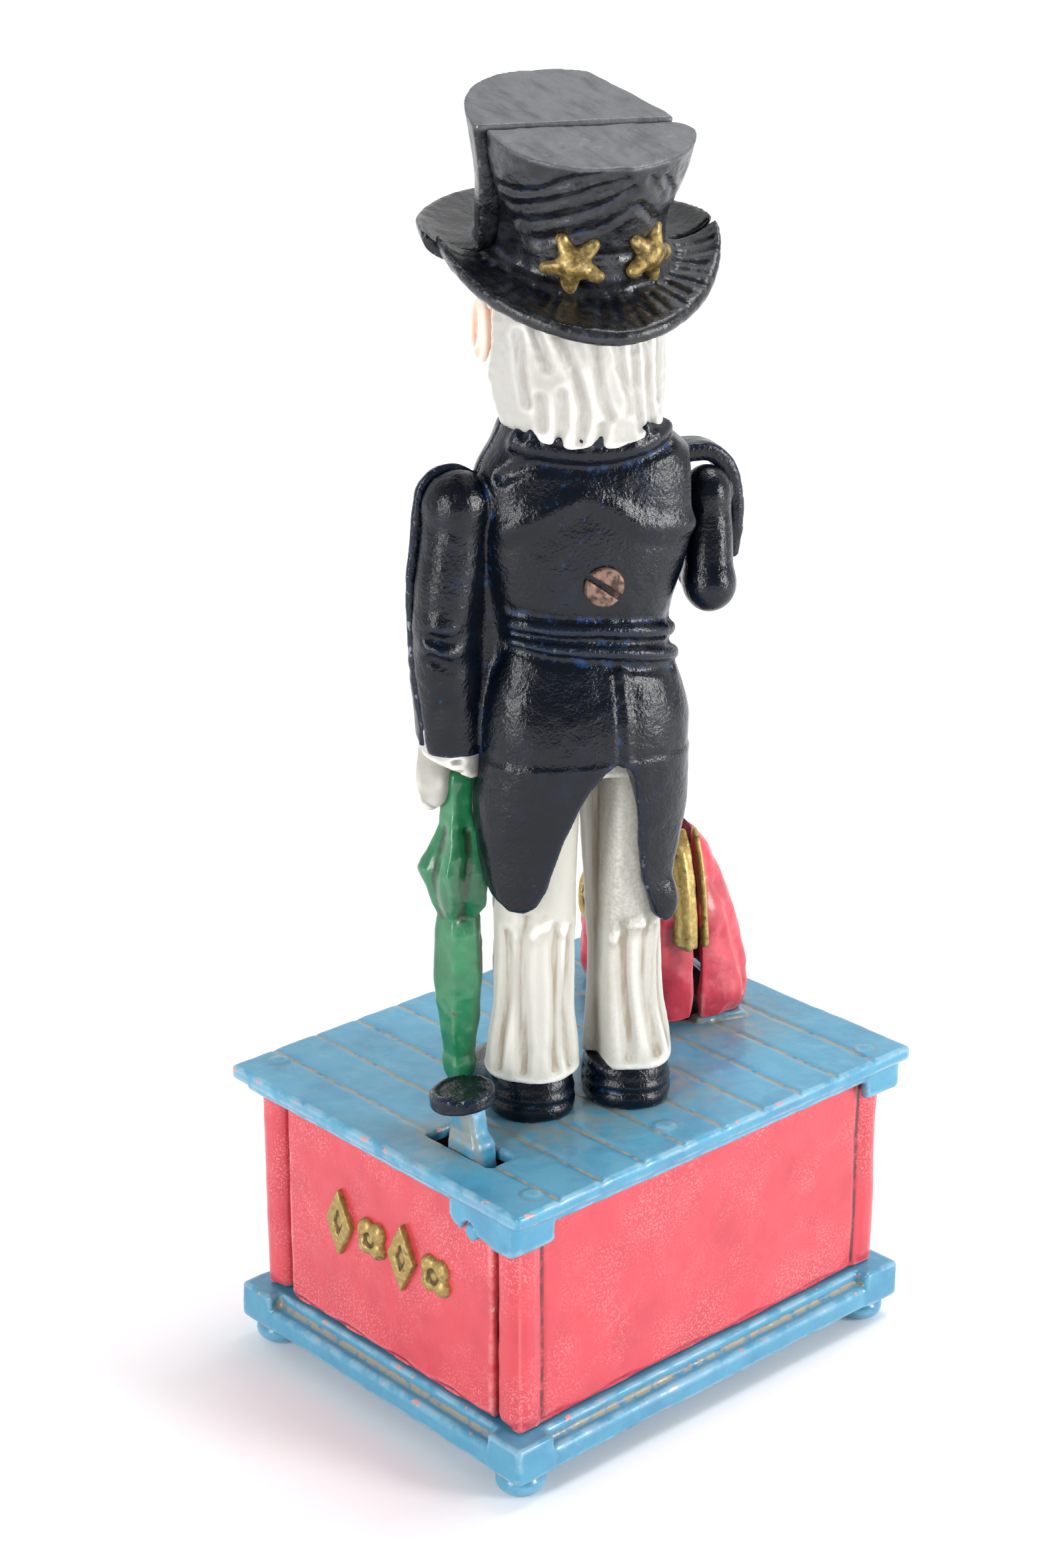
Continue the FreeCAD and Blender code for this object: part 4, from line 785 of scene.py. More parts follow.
def make_side_wall(name, side, node):
    """A plain wall between the corner posts; side is -1 on the right and 1 on the left."""
    low, high = sorted((side * 52.9, side * 55.6))
    clay = Clay((low, -34, 14.3), (high, 35.2, 66), 0.5)
    clay.add(slab((side * 54.2, 0.6, 40.3), (1.25, 34.2, 25.8), 0.7))
    clay.cut(pill((low - 3, SHAFT_Y, SHAFT_Z), (high + 3, SHAFT_Y, SHAFT_Z), 2.1), 0.3)
    seam = [(side * 55.6, a, 15 + 0.5 * math.sin(0.37 * a)) for a in range(-34, 37, 4)]
    clay.cut(chain(seam, 0.8), 0.5)
    publish(name, clay, RED, "bank", rough=((0.22, 12), (0.09, 3.4)), stands_for=(node,))


make_deck()
make_plinth()
make_end_wall("back_wall", 1, "back_panel")
make_end_wall("front_wall", -1, "front_panel")
make_side_wall("left_wall", 1, "left_side_panel")
make_side_wall("right_wall", -1, "right_side_panel")


# ------------------------------------------------------------------ the figure
GREEN = enamel("green_enamel", "1c7346", "0f4d30", "3a9866", "5f9a76", 0.28, 0.05, 0.4,
               grime="233c26", chip="6b4438", mottle=0.6)
HAIR = white_enamel("white_enamel", "b2b0ab", "b0ada6", "8b857b", (1, 1, 0.25), 0.5)
CLOTH = white_enamel("trouser_enamel", "c0bdb4", "b7b3a8", "8c7a5e", (1, 1, 0.15), 0.8)
GLOVE = white_enamel("glove_enamel", "9b9990", "84837a", "55534a", (1, 1, 1), 0.8)
SKIN = white_enamel("skin_enamel", "e6bfa6", "d7a88f", "b07e68", (1, 1, 1), 0.6)

COAT_POWER = 2.5
COAT = [(146, -0.4, 1, 21.6, 14), (152, -0.4, 1.2, 22.2, 14.6), (160, -0.3, 1, 22.3, 14.4),
        (168, 0, 0.6, 20.4, 13), (174, 0, 0.3, 18.6, 12), (181, 0, 0, 18.8, 12.2),
        (190, -0.6, 0, 21, 13.1), (199, -1.2, 0, 23.2, 13.5), (206, -1.4, -0.2, 23.6, 13.2),
        (212, -1.4, -0.2, 22.8, 12.4), (216, -0.6, 0.2, 19.6, 12.2),
        (219.5, 0.4, 0.6, 16.8, 12.4), (221, 0.4, 0.6, 16.2, 12.2)]
SKIRT = [(112, 0.8, 1, 21.5, 12.2), (120, 0.8, 1, 22, 12.5), (132, 0.5, 1, 22.8, 13.2),
         (142, 0.2, 1.2, 23.2, 14), (151, -0.3, 1.2, 22.3, 14.6)]
LEFT_LEG = [(78, 10.1, 0, 10.3, 9.8), (84, 10, 0, 10, 9.5), (92, 9.9, 0, 9, 8.9),
            (104, 9.8, 0, 8.7, 8.7), (115, 9.6, 0, 8.7, 8.9), (130, 9.4, 0, 8.8, 9.4),
            (152, 9.2, 0, 9.6, 10.4)]
RIGHT_LEG = [(77.6, -11.7, 0, 9.7, 9.6), (84, -11.5, 0, 9.3, 9.4), (92, -11, 0, 8.3, 8.8),
             (104, -10.7, 0, 7.8, 8.6), (115, -10.3, 0, 8.1, 8.9), (130, -9.8, 0, 8.6, 9.4),
             (152, -9.2, 0, 9.6, 10.4)]
HEAD = [(218.5, 0.6, 0.5, 14.5, 13.2), (222, 1, 0.3, 16.6, 15), (228, 1.3, 0, 17.8, 16.2),
        (236, 1.6, -0.3, 18.2, 16.4), (243, 1.5, -0.8, 17.8, 15.8), (248, 1.3, -1.4, 17, 13.4),
        (254, 1, -2, 15.8, 9)]
FACE = [(218, 0.2, -0.5, 12, 11.5), (225, 0.3, -0.8, 15.2, 14.8), (234, 0.4, -1, 17, 16.4),
        (243, 0.4, -1.4, 17.4, 16.8), (255, 0.4, -2, 16, 15.8)]
HAT_PLACE = FIGURE @ Matrix.Translation((0, -4, 250)) @ Matrix.Rotation(math.radians(-18), 4, "X")


def on_skin(rows, power, points, side=1, lift=0.0):
    """Points (x, z) put on the back (side 1) or front (-1) of stacked ovals."""
    spots = []
    for x, z in points:
        cx, cy, rx, ry = oval_at(rows, z)
        share = min(abs(x - cx) / rx, 0.985)
        spots.append((x, cy + side * (ry * (1 - share**power) ** (1 / power) + lift), z))
    return spots


def behind(x, y, z):
    """Less than 0 on the back side of the parting plane."""
    return 0.2 - y


def before(x, y, z):
    """Less than 0 on the front side of the parting plane."""
    return y + 0.2


def path_on(rows, power, points, side=1, lift=0.0):
    """A smooth path over the skin of stacked ovals."""
    smooth = curve([(x, z, 0) for x, z in points], 6)
    return on_skin(rows, power, [(p[0], p[1]) for p in smooth], side, lift)


def tails_outline():
    """The coat's edge seen from behind: two tails and the gap between them."""
    return [(-40, 240), (-40, 150), (-26, 142), (-21.5, 134), (-19.3, 126.5), (-18.6, 122),
            (-19.7, 118), (-19, 114.6), (-16.8, 113.4), (-14.4, 115.2), (-12.2, 119),
            (-10.5, 123.5), (-9.6, 130), (-8.6, 140), (-7.4, 147.3), (-5.7, 150.7),
            (-3.8, 151.2), (-1, 149.6), (1.8, 146.2), (4.1, 142.4), (7.3, 134.7),
            (9.4, 127.6), (10.8, 123.4), (12.6, 120.2), (15, 118.8), (18, 119),
            (20.4, 121.2), (21.8, 127), (23.4, 138), (24.4, 146), (26.4, 151.6), (40, 152),
            (40, 240)]


def make_coat_back():
    """The back casting of the coat with the left sleeve, the tails and the collar."""
    clay = Clay((-25.5, -0.5, 112), (36.5, 17.5, 222), 0.5)
    # sleeve, cut to length above the cuff, with the creases of its elbow
    clay.add(chain(curve([(26.2, 0.6, 204.4), (27.4, 1, 196), (28.7, 1.2, 186), (29, 0.4, 175),
                          (27.6, -1.2, 161), (26.6, -2.2, 150)], 5),
                   list(np.linspace(6.8, 6.5, 26))))
    clay.add(ball((26, 0.4, 205.2), (7, 7.4, 6.6)), 2)
    clay.cut(slab((27, -2, 142), (12, 14, 10.2), 0.4), 0.5)
    clay.add(ball((31.2, 5.4, 177.6), (2.6, 2.6, 4.2)), 4)
    for points, radius in (([(23.4, 8.6, 181.6), (28, 9, 178.4), (33, 6.6, 179)], 0.9),
                           ([(23.4, 8.4, 172.4), (28, 8.8, 172), (33, 6.4, 174.4)], 0.9),
                           ([(25, 8.6, 166.5), (28, 8, 164.6), (31.5, 5.8, 163)], 0.6)):
        clay.cut(chain(curve(points, 5), radius), 2.6)
    clay.add(stack(COAT, COAT_POWER), 0.7)
    clay.add(stack(SKIRT, COAT_POWER), 1.5)
    clay.cut(stack([(z, x, y, rx - 3, ry - 3) for z, x, y, rx, ry in SKIRT[:-1]]
                   + [(148, 0, 1, 14, 9)], COAT_POWER), 0.8)
    clay.add(slab((20.6, 0.4, 181), (4.6, 2.4, 27), 1.6), 2.5)
    clay.keep(outline(tails_outline(), 1, -30, 40).field, 1.4)
    clay.add(ball((-16.6, 9.2, 117.6), (2.6, 1.8, 3.8)), 3)
    clay.cut(slab((-30, -6, 195.2), (8.8, 21.6, 18.2), 1.5), 1.2)
    # welts round the waist, centre vent, yoke and collar
    for work, fillet, radius, lift, points in (
            (clay.add, 1.0, 1.6, -0.7, [(16, 180.9), (8, 180.1), (0, 179.3), (-9, 178.2),
                                        (-17.4, 176.5)]),
            (clay.add, 1.0, 1.7, -0.5, [(16, 177.2), (8, 176), (0, 175), (-9, 173.6),
                                        (-17.8, 171.6)]),
            (clay.cut, 1.2, 0.8, 0.5, [(17.4, 184), (8, 182.6), (0, 181.9), (-9, 181),
                                       (-17.8, 179.4)]),
            (clay.cut, 1.2, 0.55, 0.9, [(16.6, 179.2), (8, 178), (0, 177.2), (-9, 175.9),
                                        (-17.4, 174)]),
            (clay.cut, 1.2, 1.1, 0.5, [(17.6, 176), (10, 174), (2, 172.6), (-6, 171.2),
                                       (-17.6, 169.2)]),
            (clay.cut, 0.7, 0.42, 0.1, [(-3.5, 170.6), (-3.8, 160), (-3.9, 150)]),
            (clay.add, 1.2, 1.2, -1, [(-4.9, 169.5), (-5.2, 160), (-5.4, 151.5)]),
            (clay.add, 3, 1.2, -1.15, [(18, 201), (10, 204.5), (3.1, 207.3), (-2, 205),
                                       (-8.8, 200.6), (-14, 199.7), (-20, 199.4)]),
            (clay.cut, 1.6, 1.2, 0.5, [(19, 211.5), (13.3, 214.2), (6, 213.3), (-0.9, 213),
                                       (-9, 214.2), (-16, 216.4)]),
            (clay.add, 1.4, 1.9, -0.6, [(15.6, 218.2), (8, 217), (0, 216.3), (-8, 217),
                                        (-15, 219)])):
        work(chain(path_on(COAT, COAT_POWER, points, 1, lift), radius), fillet)
    for k in range(13):
        x = 15.4 - 2.5 * k
        spot = on_skin(COAT, COAT_POWER, [(x, 219.4 + 0.7 * math.sin(2.1 * k))], 1, -0.3)[0]
        clay.add(ball(spot, (1.6, 1.3, 1.5 + 0.5 * math.sin(1.3 * k + 1))), 0.7)
    clay.keep(behind, 0.7)
    publish("coat_back", clay, BLACK, "bank", FIGURE, rough=((0.12, 7), (0.10, 2.4)),
            stands_for=("figure_back",))


def make_coat_front():
    """The front casting of the coat with its lapels and the strip outside the right arm."""
    clay = Clay((-36, -20, 146), (38.5, 0.6, 222.5), 0.55)
    clay.add(stack(COAT, COAT_POWER))
    clay.cut(slab((-30, 0, 196), (8.6, 30, 17), 1.5), 1.0)
    clay.add(chain(curve([(27.2, 0, 205.6), (28.6, 0.3, 196), (29.4, 0.2, 186), (28.8, -0.8, 172),
                          (27.4, -2.2, 160), (27, -3, 155)], 5), list(np.linspace(7.4, 6.9, 26))),
             0.8)
    clay.cut(slab((31.4, -4, 148), (10, 14, 6.6), 0.5), 0.6)
    clay.add(slab((20.6, -0.4, 181), (4.6, 2.4, 27), 1.6), 2.5)
    clay.add(pill((32.2, -1.6, 156), (33.2, -1.2, 154.4), 1.2, 0.7), 1)
    opening = [(0, 223), (6.5, 223), (4.6, 205), (3.6, 190), (5.4, 178), (9.5, 168), (16, 160),
               (17, 140), (-17, 140), (-16, 160), (-9.5, 168), (-5.4, 178), (-3.6, 190),
               (-4.6, 205), (-6.5, 223)]
    clay.cut(outline(opening, 1, -30, -4.5), 0.8)
    for side in BOTH:
        lapel = path_on(COAT, COAT_POWER, [(side * 7.8, 219), (side * 7, 208), (side * 6, 196),
                                           (side * 5.6, 186)], -1, -0.2)
        clay.add(chain(lapel, list(np.linspace(2.2, 1.2, len(lapel)))), 0.8)
    clay.cut(slab((0, -24, 223), (9.4, 14.4, 9.4), 0.6), 0.4)
    # the strip outside the right arm and its bridge to the shoulder
    cap = curve([(-21, -3.6, 211), (-27.5, -3.8, 211.2), (-31.8, -3.8, 208.4), (-34, -3.8, 202.6),
                 (-34.4, -3.8, 196), (-33.9, -3.8, 189.6)], 6)
    strip = chain(cap, list(np.linspace(2.1, 1.5, len(cap))))
    wide = Shape(lambda x, y, z: strip.field(x, np.where(np.abs(y + 4) < 2.6, -3.8,
                                                         y - np.sign(y + 4) * 2.6 + 0.2), z),
                 strip.low - (0, 4, 0), strip.high + (0, 4, 0))
    clay.add(wide, 0.4)
    clay.keep(before, 0.7)
    publish("coat_front", clay, BLACK, "bank", FIGURE, rough=((0.12, 7), (0.14, 2.0)),
            stands_for=("figure_front",))


def make_waistcoat():
    """The waistcoat with its buttons, and the shirt above it."""
    clay = Clay((-17, -14.5, 158), (17, -3, 221), 0.55)
    clay.add(stack([(z, x, y, min(rx, 18) - 1, ry - 1.6) for z, x, y, rx, ry in COAT], 2.3))
    clay.keep(outline([(0, 221), (8, 221), (6, 205), (5, 190), (7.5, 176), (12, 164), (0, 160),
                       (-12, 164), (-7.5, 176), (-5, 190), (-6, 205), (-8, 221)],
                      1, -30, -4).field, 0.5)
    clay.cut(outline([(0, 196), (5, 215), (5, 224), (-5, 224), (-5, 215)], 1, -30, -10.4), 0.3)
    clay.cut(slab((0, -24, 223), (9.4, 14.4, 9.4), 0.6), 0.4)
    publish("waistcoat", clay, RED, "bank", FIGURE, rough=((0.08, 4),))
    studs = Clay((-3, -16, 164), (3, -8, 194), 0.4)
    for z in (168, 175.5, 183, 190.5):
        y = on_skin(COAT, 2.3, [(0, z)], -1, -1.6)[0][1]
        studs.add(ball((0, y, z), (1.7, 1.1, 1.7)))
    publish("waistcoat_buttons", studs, GOLD, "bank", FIGURE)
    shirt = Clay((-9, -14, 193), (9, -6, 222.5), 0.5)
    shirt.add(stack([(z, x, y, min(rx, 12), ry - 2.4) for z, x, y, rx, ry in COAT[6:]], 2.3))
    shirt.keep(outline([(0, 194), (6, 214), (8, 222.5), (-8, 222.5), (-6, 214)], 1, -30,
                       -6.4).field, 0.4)
    shirt.cut(slab((0, -24.4, 223), (9.4, 14.4, 9.4), 0.6), 0.4)
    publish("shirt", shirt, HAIR, "bank", FIGURE)


def flute(clay, rows, degrees, z_high, radius):
    """A groove down a leg, from the knee to the hem."""
    z_low, lift = 81.5, 0.1
    spots = []
    for t in np.linspace(0, 1, 9):
        z = z_high + (z_low - z_high) * t
        cx, cy, rx, ry = oval_at(rows, z)
        a = math.radians(degrees + 4 * math.sin(5 * t + degrees))
        spots.append((cx + (rx + lift) * math.sin(a), cy + (ry + lift) * math.cos(a), z))
    clay.cut(chain(spots, list(radius * np.interp(range(9), (0, 4, 7, 8), (0.2, 0.6, 0.7, 0.3)))),
             2.6)


def make_trousers():
    """Both trouser legs, with folds at the knee and fluted hems."""
    for name, rows, side, grooves in (
            ("left_trouser", LEFT_LEG, 1, ((31, 116, 1.2), (-17, 114, 1.35), (-40, 112, 1.0),
                                           (60, 112, 0.9), (110, 114, 1.1), (150, 116, 1.1),
                                           (190, 118, 1.1), (235, 114, 1.1), (275, 112, 0.8))),
            ("right_trouser", RIGHT_LEG, -1, ((19, 113, 1.1), (-19, 112, 1.35), (-34, 110, 1.1),
                                              (-58, 112, 0.9), (-95, 112, 1), (-140, 116, 1.1),
                                              (-180, 118, 1.1), (-220, 116, 1.0)))):
        low, high = sorted((side * -1.6, side * 21.8))
        clay = Clay((low, -13, 77), (high, 12, 161), 0.5)
        clay.add(stack(rows, 2.2))
        if side < 0:
            clay.cut(slab((1.6, 10, 118), (6.6, 12, 50), 1.5), 2.0)
            clay.add(chain(curve([(-6, 7.4, 109), (-8.5, 8.6, 112.4), (-11.5, 8.8, 112.6),
                                  (-14.5, 7.8, 110)], 4), 1.0), 1.8)
        else:
            clay.add(chain(curve([(14, 7.2, 112), (10, 8.4, 114.5), (6, 7.6, 113)], 4), 1.0), 2)
        for degrees, top, radius in grooves:
            flute(clay, rows, degrees, top, radius)
        clay.add(stack([(147, 0, 0, 18, 11.4), (160.6, 0, 0, 17.5, 11)], 2.3), 2)
        clay.keep(lambda x, y, z: 78.5 - z + 0.3 * np.sin(x * 0.5) - 0.05 * y, 1.3)
        # painted shade: the paint number greys the right leg, most high up and on its back under
        # the coat, and a little of the left leg's inner edge
        publish(name, clay, CLOTH, "bank", FIGURE, rough=((0.14, 6), (0.06, 1.8)),
                paint=lambda v: np.clip((1.5 - v[:, 0]) / 6, 0, 1)
                * np.clip((v[:, 2] - 106) / 16, 0.12, 0.46) * np.clip((v[:, 1] + 3) / 5, 0.1, 1))


def make_shoes():
    """The two shoes, with a ridged sole edge."""
    toe = 3.4
    for name, side in (("left_shoe", 1), ("right_shoe", -1)):
        x = 10.9 * side - 0.5
        low, high = sorted((side * 0.2, side * 24))
        clay = Clay((low, -24, DECK_TOP - 0.2), (high, 12, 84), 0.5)
        clay.add(stack([(69.3, x, 0, 9.1, 10.4), (72, x, 0, 9.5, 10.8), (76.4, x, -0.2, 9.2, 10),
                        (78.4, x, 0, 8.8, 9), (83, x, 0, 8, 8.2)], 2.2))
        clay.add(ball((x + toe * 0.5 * side, -9, 72.8), (7.6, 9, 6.6)), 4)
        clay.add(ball((x + toe * side, -15, 71.6), (6.4, 7.2, 4.8)), 4)
        clay.keep(lambda x, y, z: DECK_TOP - 0.1 - z, 0.4)
        if side < 0:
            clay.cut(slab((1.6, 10, 88), (7.4, 14, 9.6), 1.5), 0.8)
        for z, r in ((73.2, 0.55), (75.8, 0.6)):
            ring = [(x + 9.6 * math.sin(a), 10.9 * math.cos(a), z + 0.25 * math.sin(3 * a))
                    for a in np.radians(np.arange(-100, 101, 10))]
            clay.cut(chain(ring, r), 0.9)
        publish(name, clay, BLACK, "bank", FIGURE, rough=((0.12, 5),))


def make_left_hand():
    """The left cuff and the fist that holds the umbrella."""
    clay = Clay((18.5, -12, 146.5), (34, 4.6, 158), 0.45)
    clay.add(pill((27.2, -1.8, 160), (26.3, -2.9, 140), 6.5, 6.1))
    clay.keep(outline([(15, 146.4), (24, 147), (29, 149.8), (36, 152.6), (36, 158), (15, 158)],
                      1, -30, 30).field, 0.6)
    for z, x in ((151.2, 27.4), (148.9, 27)):
        clay.cut(ball((x, 3.9, z), (1.3, 1.2, 0.5)), 0.4)
    publish("left_cuff", clay, HAIR, "bank", FIGURE, rough=((0.1, 3),))
    fist = Clay((16, -16, 136), (34.5, 2, 157), 0.4)
    fist.add(ball((30, -4.6, 145.2), (3.5, 4.4, 6.4)))
    fist.add(pill((29.6, -3.8, 152.4), (30, -4.4, 145), 3.8, 3.6), 1)
    fist.add(ball((27, -8.6, 147.2), (5, 2.8, 4.6)), 2)
    for k, z in enumerate((147.6, 144.8, 142.1, 139.8)):
        fist.add(chain([(30.8, -4.6, z), (30.4, -8.6, z - 0.2), (26.2, -10.2, z - 0.2),
                        (21.8, -8.4, z)], [1.6, 1.6, 1.5, 1.35 - 0.08 * k]), 0.5)
    fist.add(chain([(27.6, -4, 149.5), (23.6, -8, 149.4), (21.6, -9.4, 147)], [2.2, 1.8, 1.4]),
             0.9)
    publish("left_hand", fist, GLOVE, "bank", FIGURE, rough=((0.12, 3),))


def curl(offset, share):
    """The brim's height over the band, from how far out a point lies."""
    return 1.9 + 0.0035 * offset**2 + 4 * share**12


def brim(centre_x, half_x, half_y, power, thick):
    """A rolled brim in the hat's frame: low behind, curling up at the sides."""
    def field(x, y, z):
        u, v = np.abs(x - centre_x) / half_x, np.abs(y) / half_y
        near = (u**power + v**power) ** (1 / power) + 1e-3
        side = (near - 1) * (half_x + half_y) / 2 + thick / 2
        across = np.abs(z - curl(x - centre_x, u)) / np.sqrt(1 + (0.007 * (x - centre_x)) ** 2)
        out = np.sqrt(np.maximum(side, 0) ** 2 + across**2)
        return np.where(side > 0, out, across) - thick / 2

    return Shape(field, (centre_x - half_x - 2, -half_y - 2, -2),
                 (centre_x + half_x + 2, half_y + 2, 12))


CROWN_BACK = [(-3, 0.2, 0, 17.2, 16.6), (5, 0.2, 0, 17.3, 16.6), (10, 0.2, 0, 16.9, 16.2),
              (15, 0.2, 0, 17, 16.4), (19, 0.3, 0, 18.3, 17.2), (24, 0.4, 0.2, 19.7, 18.2),
              (31, 0.5, 0.3, 20.8, 19.2)]
CROWN_FRONT = [(-3, 1.4, 0, 18, 17), (5, 2, -0.4, 18.2, 17.2), (12, 2.2, -0.8, 18.6, 17.6),
               (18, 2.4, -1.4, 18.7, 18.2), (24, 2.9, -2, 19.3, 19), (31.3, 3.5, -3, 20.2, 20.6)]


def crown_corner(x, y, z):
    """Rounds the right end of the crown's rear half, which flares past the front half."""
    reach = 8.6 + 6 * np.clip((22 - z) / 8, 0, 1)
    gap = np.sqrt((x + 12.5) ** 2 + (y - 7.5) ** 2) - reach
    return np.where((x < -12.5) & (y < 7.5) & (z > 14), gap, -5)


def crown_top_sheen(spots):
    """Painted sheen: the flat top of the crown gets paint number 1, which the hat's paint turns a
    rougher, lighter grey in place of its reflection of the bright surround.
    """
    return np.clip((spots[:, 2] - 29.9) / 0.7, 0, 1)


def make_hat():
    """The two halves of the top hat and its gilt stars."""
    back = Clay((-30, -0.5, -3), (31, 35, 33), 0.4)
    back.add(stack(CROWN_BACK, 2.05))
    back.add(brim(0.6, 29, 33, 1.75, 3.4), 2.4)
    back.add(stack([(-2, 0.2, 0, 19, 18.2), (4.6, 0.2, 0, 18.6, 17.8)]), 3)
    folds = (([(19, 20.4), (14, 24), (9.8, 27.4), (4, 29.4), (-0.5, 30)], 0.75),
             ([(17.6, 17.6), (13, 21.4), (8.8, 24), (4, 26.4), (-0.9, 28)], 0.75),
             ([(15.4, 14.8), (11, 18), (7.4, 20), (2, 22.6), (-3, 25.6)], 0.8),
             ([(12.7, 12.4), (9, 14.4), (5, 16.2), (0.6, 18.2), (-4, 21.2)], 0.8),
             ([(-6.9, 27.4), (-8.8, 25), (-10.4, 23)], 0.65),
             ([(-10.3, 26.8), (-12, 24.4), (-13.6, 22)], 0.65),
             ([(-5.2, 22), (-7.6, 19.6), (-10, 17)], 0.65),
             ([(9, 11.4), (3, 11), (-3, 10.9), (-10, 10.7)], 0.6))
    for points, radius in folds:
        back.cut(chain(path_on(CROWN_BACK, 2.05, points, 1, 0.25), radius), 1.3)
    for k in range(22):
        a = math.radians(-80 + 160 * k / 21)
        r_in, r_out = 20.5 + 0.8 * math.sin(3 * k), 27.5 + 1.5 * math.sin(2.3 * k)
        start = (0.6 + r_in * math.sin(a), r_in * math.cos(a))
        stop = (0.6 + r_out * math.sin(a + 0.05), r_out * 1.05 * math.cos(a))
        ends = [(*p, curl(p[0], min(abs(p[0]) / 29, 1)) + 2.0) for p in (start, stop)]
        back.cut(pill(*ends, 0.35 + 0.15 * (k % 3)), 0.9)
    back.cut(stack([(-6, 0.4, -0.6, 14.5, 13.6), (4, 0.4, -0.6, 14, 13)]), 0.5)
    back.keep(behind, 0.8)
    back.keep(crown_corner, 1.5)
    back.keep(lambda x, y, z: z - 30.9 + 0.012 * x, 0.5)
    publish("hat_back", back, HAT, "bank", HAT_PLACE, rough=((0.14, 5), (0.12, 1.6)),
            paint=crown_top_sheen)
    front = Clay((-30, -33, -3), (34.5, 0.6, 33), 0.45)
    front.add(stack(CROWN_FRONT, 2.2))
    front.add(brim(2.2, 30, 31.5, 2.0, 3.0), 2.4)
    front.keep(lambda x, y, z: (-(x + 12.6) * 0.89 - (y + 10.6) * 0.455 - np.maximum(24 - z, 0)
                                * 1.2), 1.2)
    front.keep(before, 0.6)
    front.keep(lambda x, y, z: z - 31.5 - 0.012 * x, 0.4)
    publish("hat_front", front, HAT, "bank", HAT_PLACE, rough=((0.12, 6), (0.08, 1.8)),
            paint=crown_top_sheen)
    stars = Clay((-16, 8, 2), (15, 22, 18), 0.35)
    for x, z, spin in ((6.4, 9.6, 4), (-9.8, 9.8, -8)):
        spot = on_skin(CROWN_BACK, 2.05, [(x, z)], 1, 1.0)[0]
        out = Vector((x / 17**2, spot[1] / 16.4**2, 0.012)).normalized()
        side = Vector((-out.y, out.x, 0)).normalized()
        rise = out.cross(side) * -1
        centre = Vector(spot)
        for k in range(5):
            a = math.radians(90 + spin + 72 * k)
            tip = centre + (side * math.cos(a) + rise * math.sin(a)) * 5.2 - out * 0.5
            stars.add(pill(tuple(centre), tuple(tip), 2.3, 1.35), 0.9)
    publish("hat_stars", stars, GOLD, "bank", HAT_PLACE, rough=((0.3, 2),),
            paint=lambda v: np.full(len(v), 0.75))


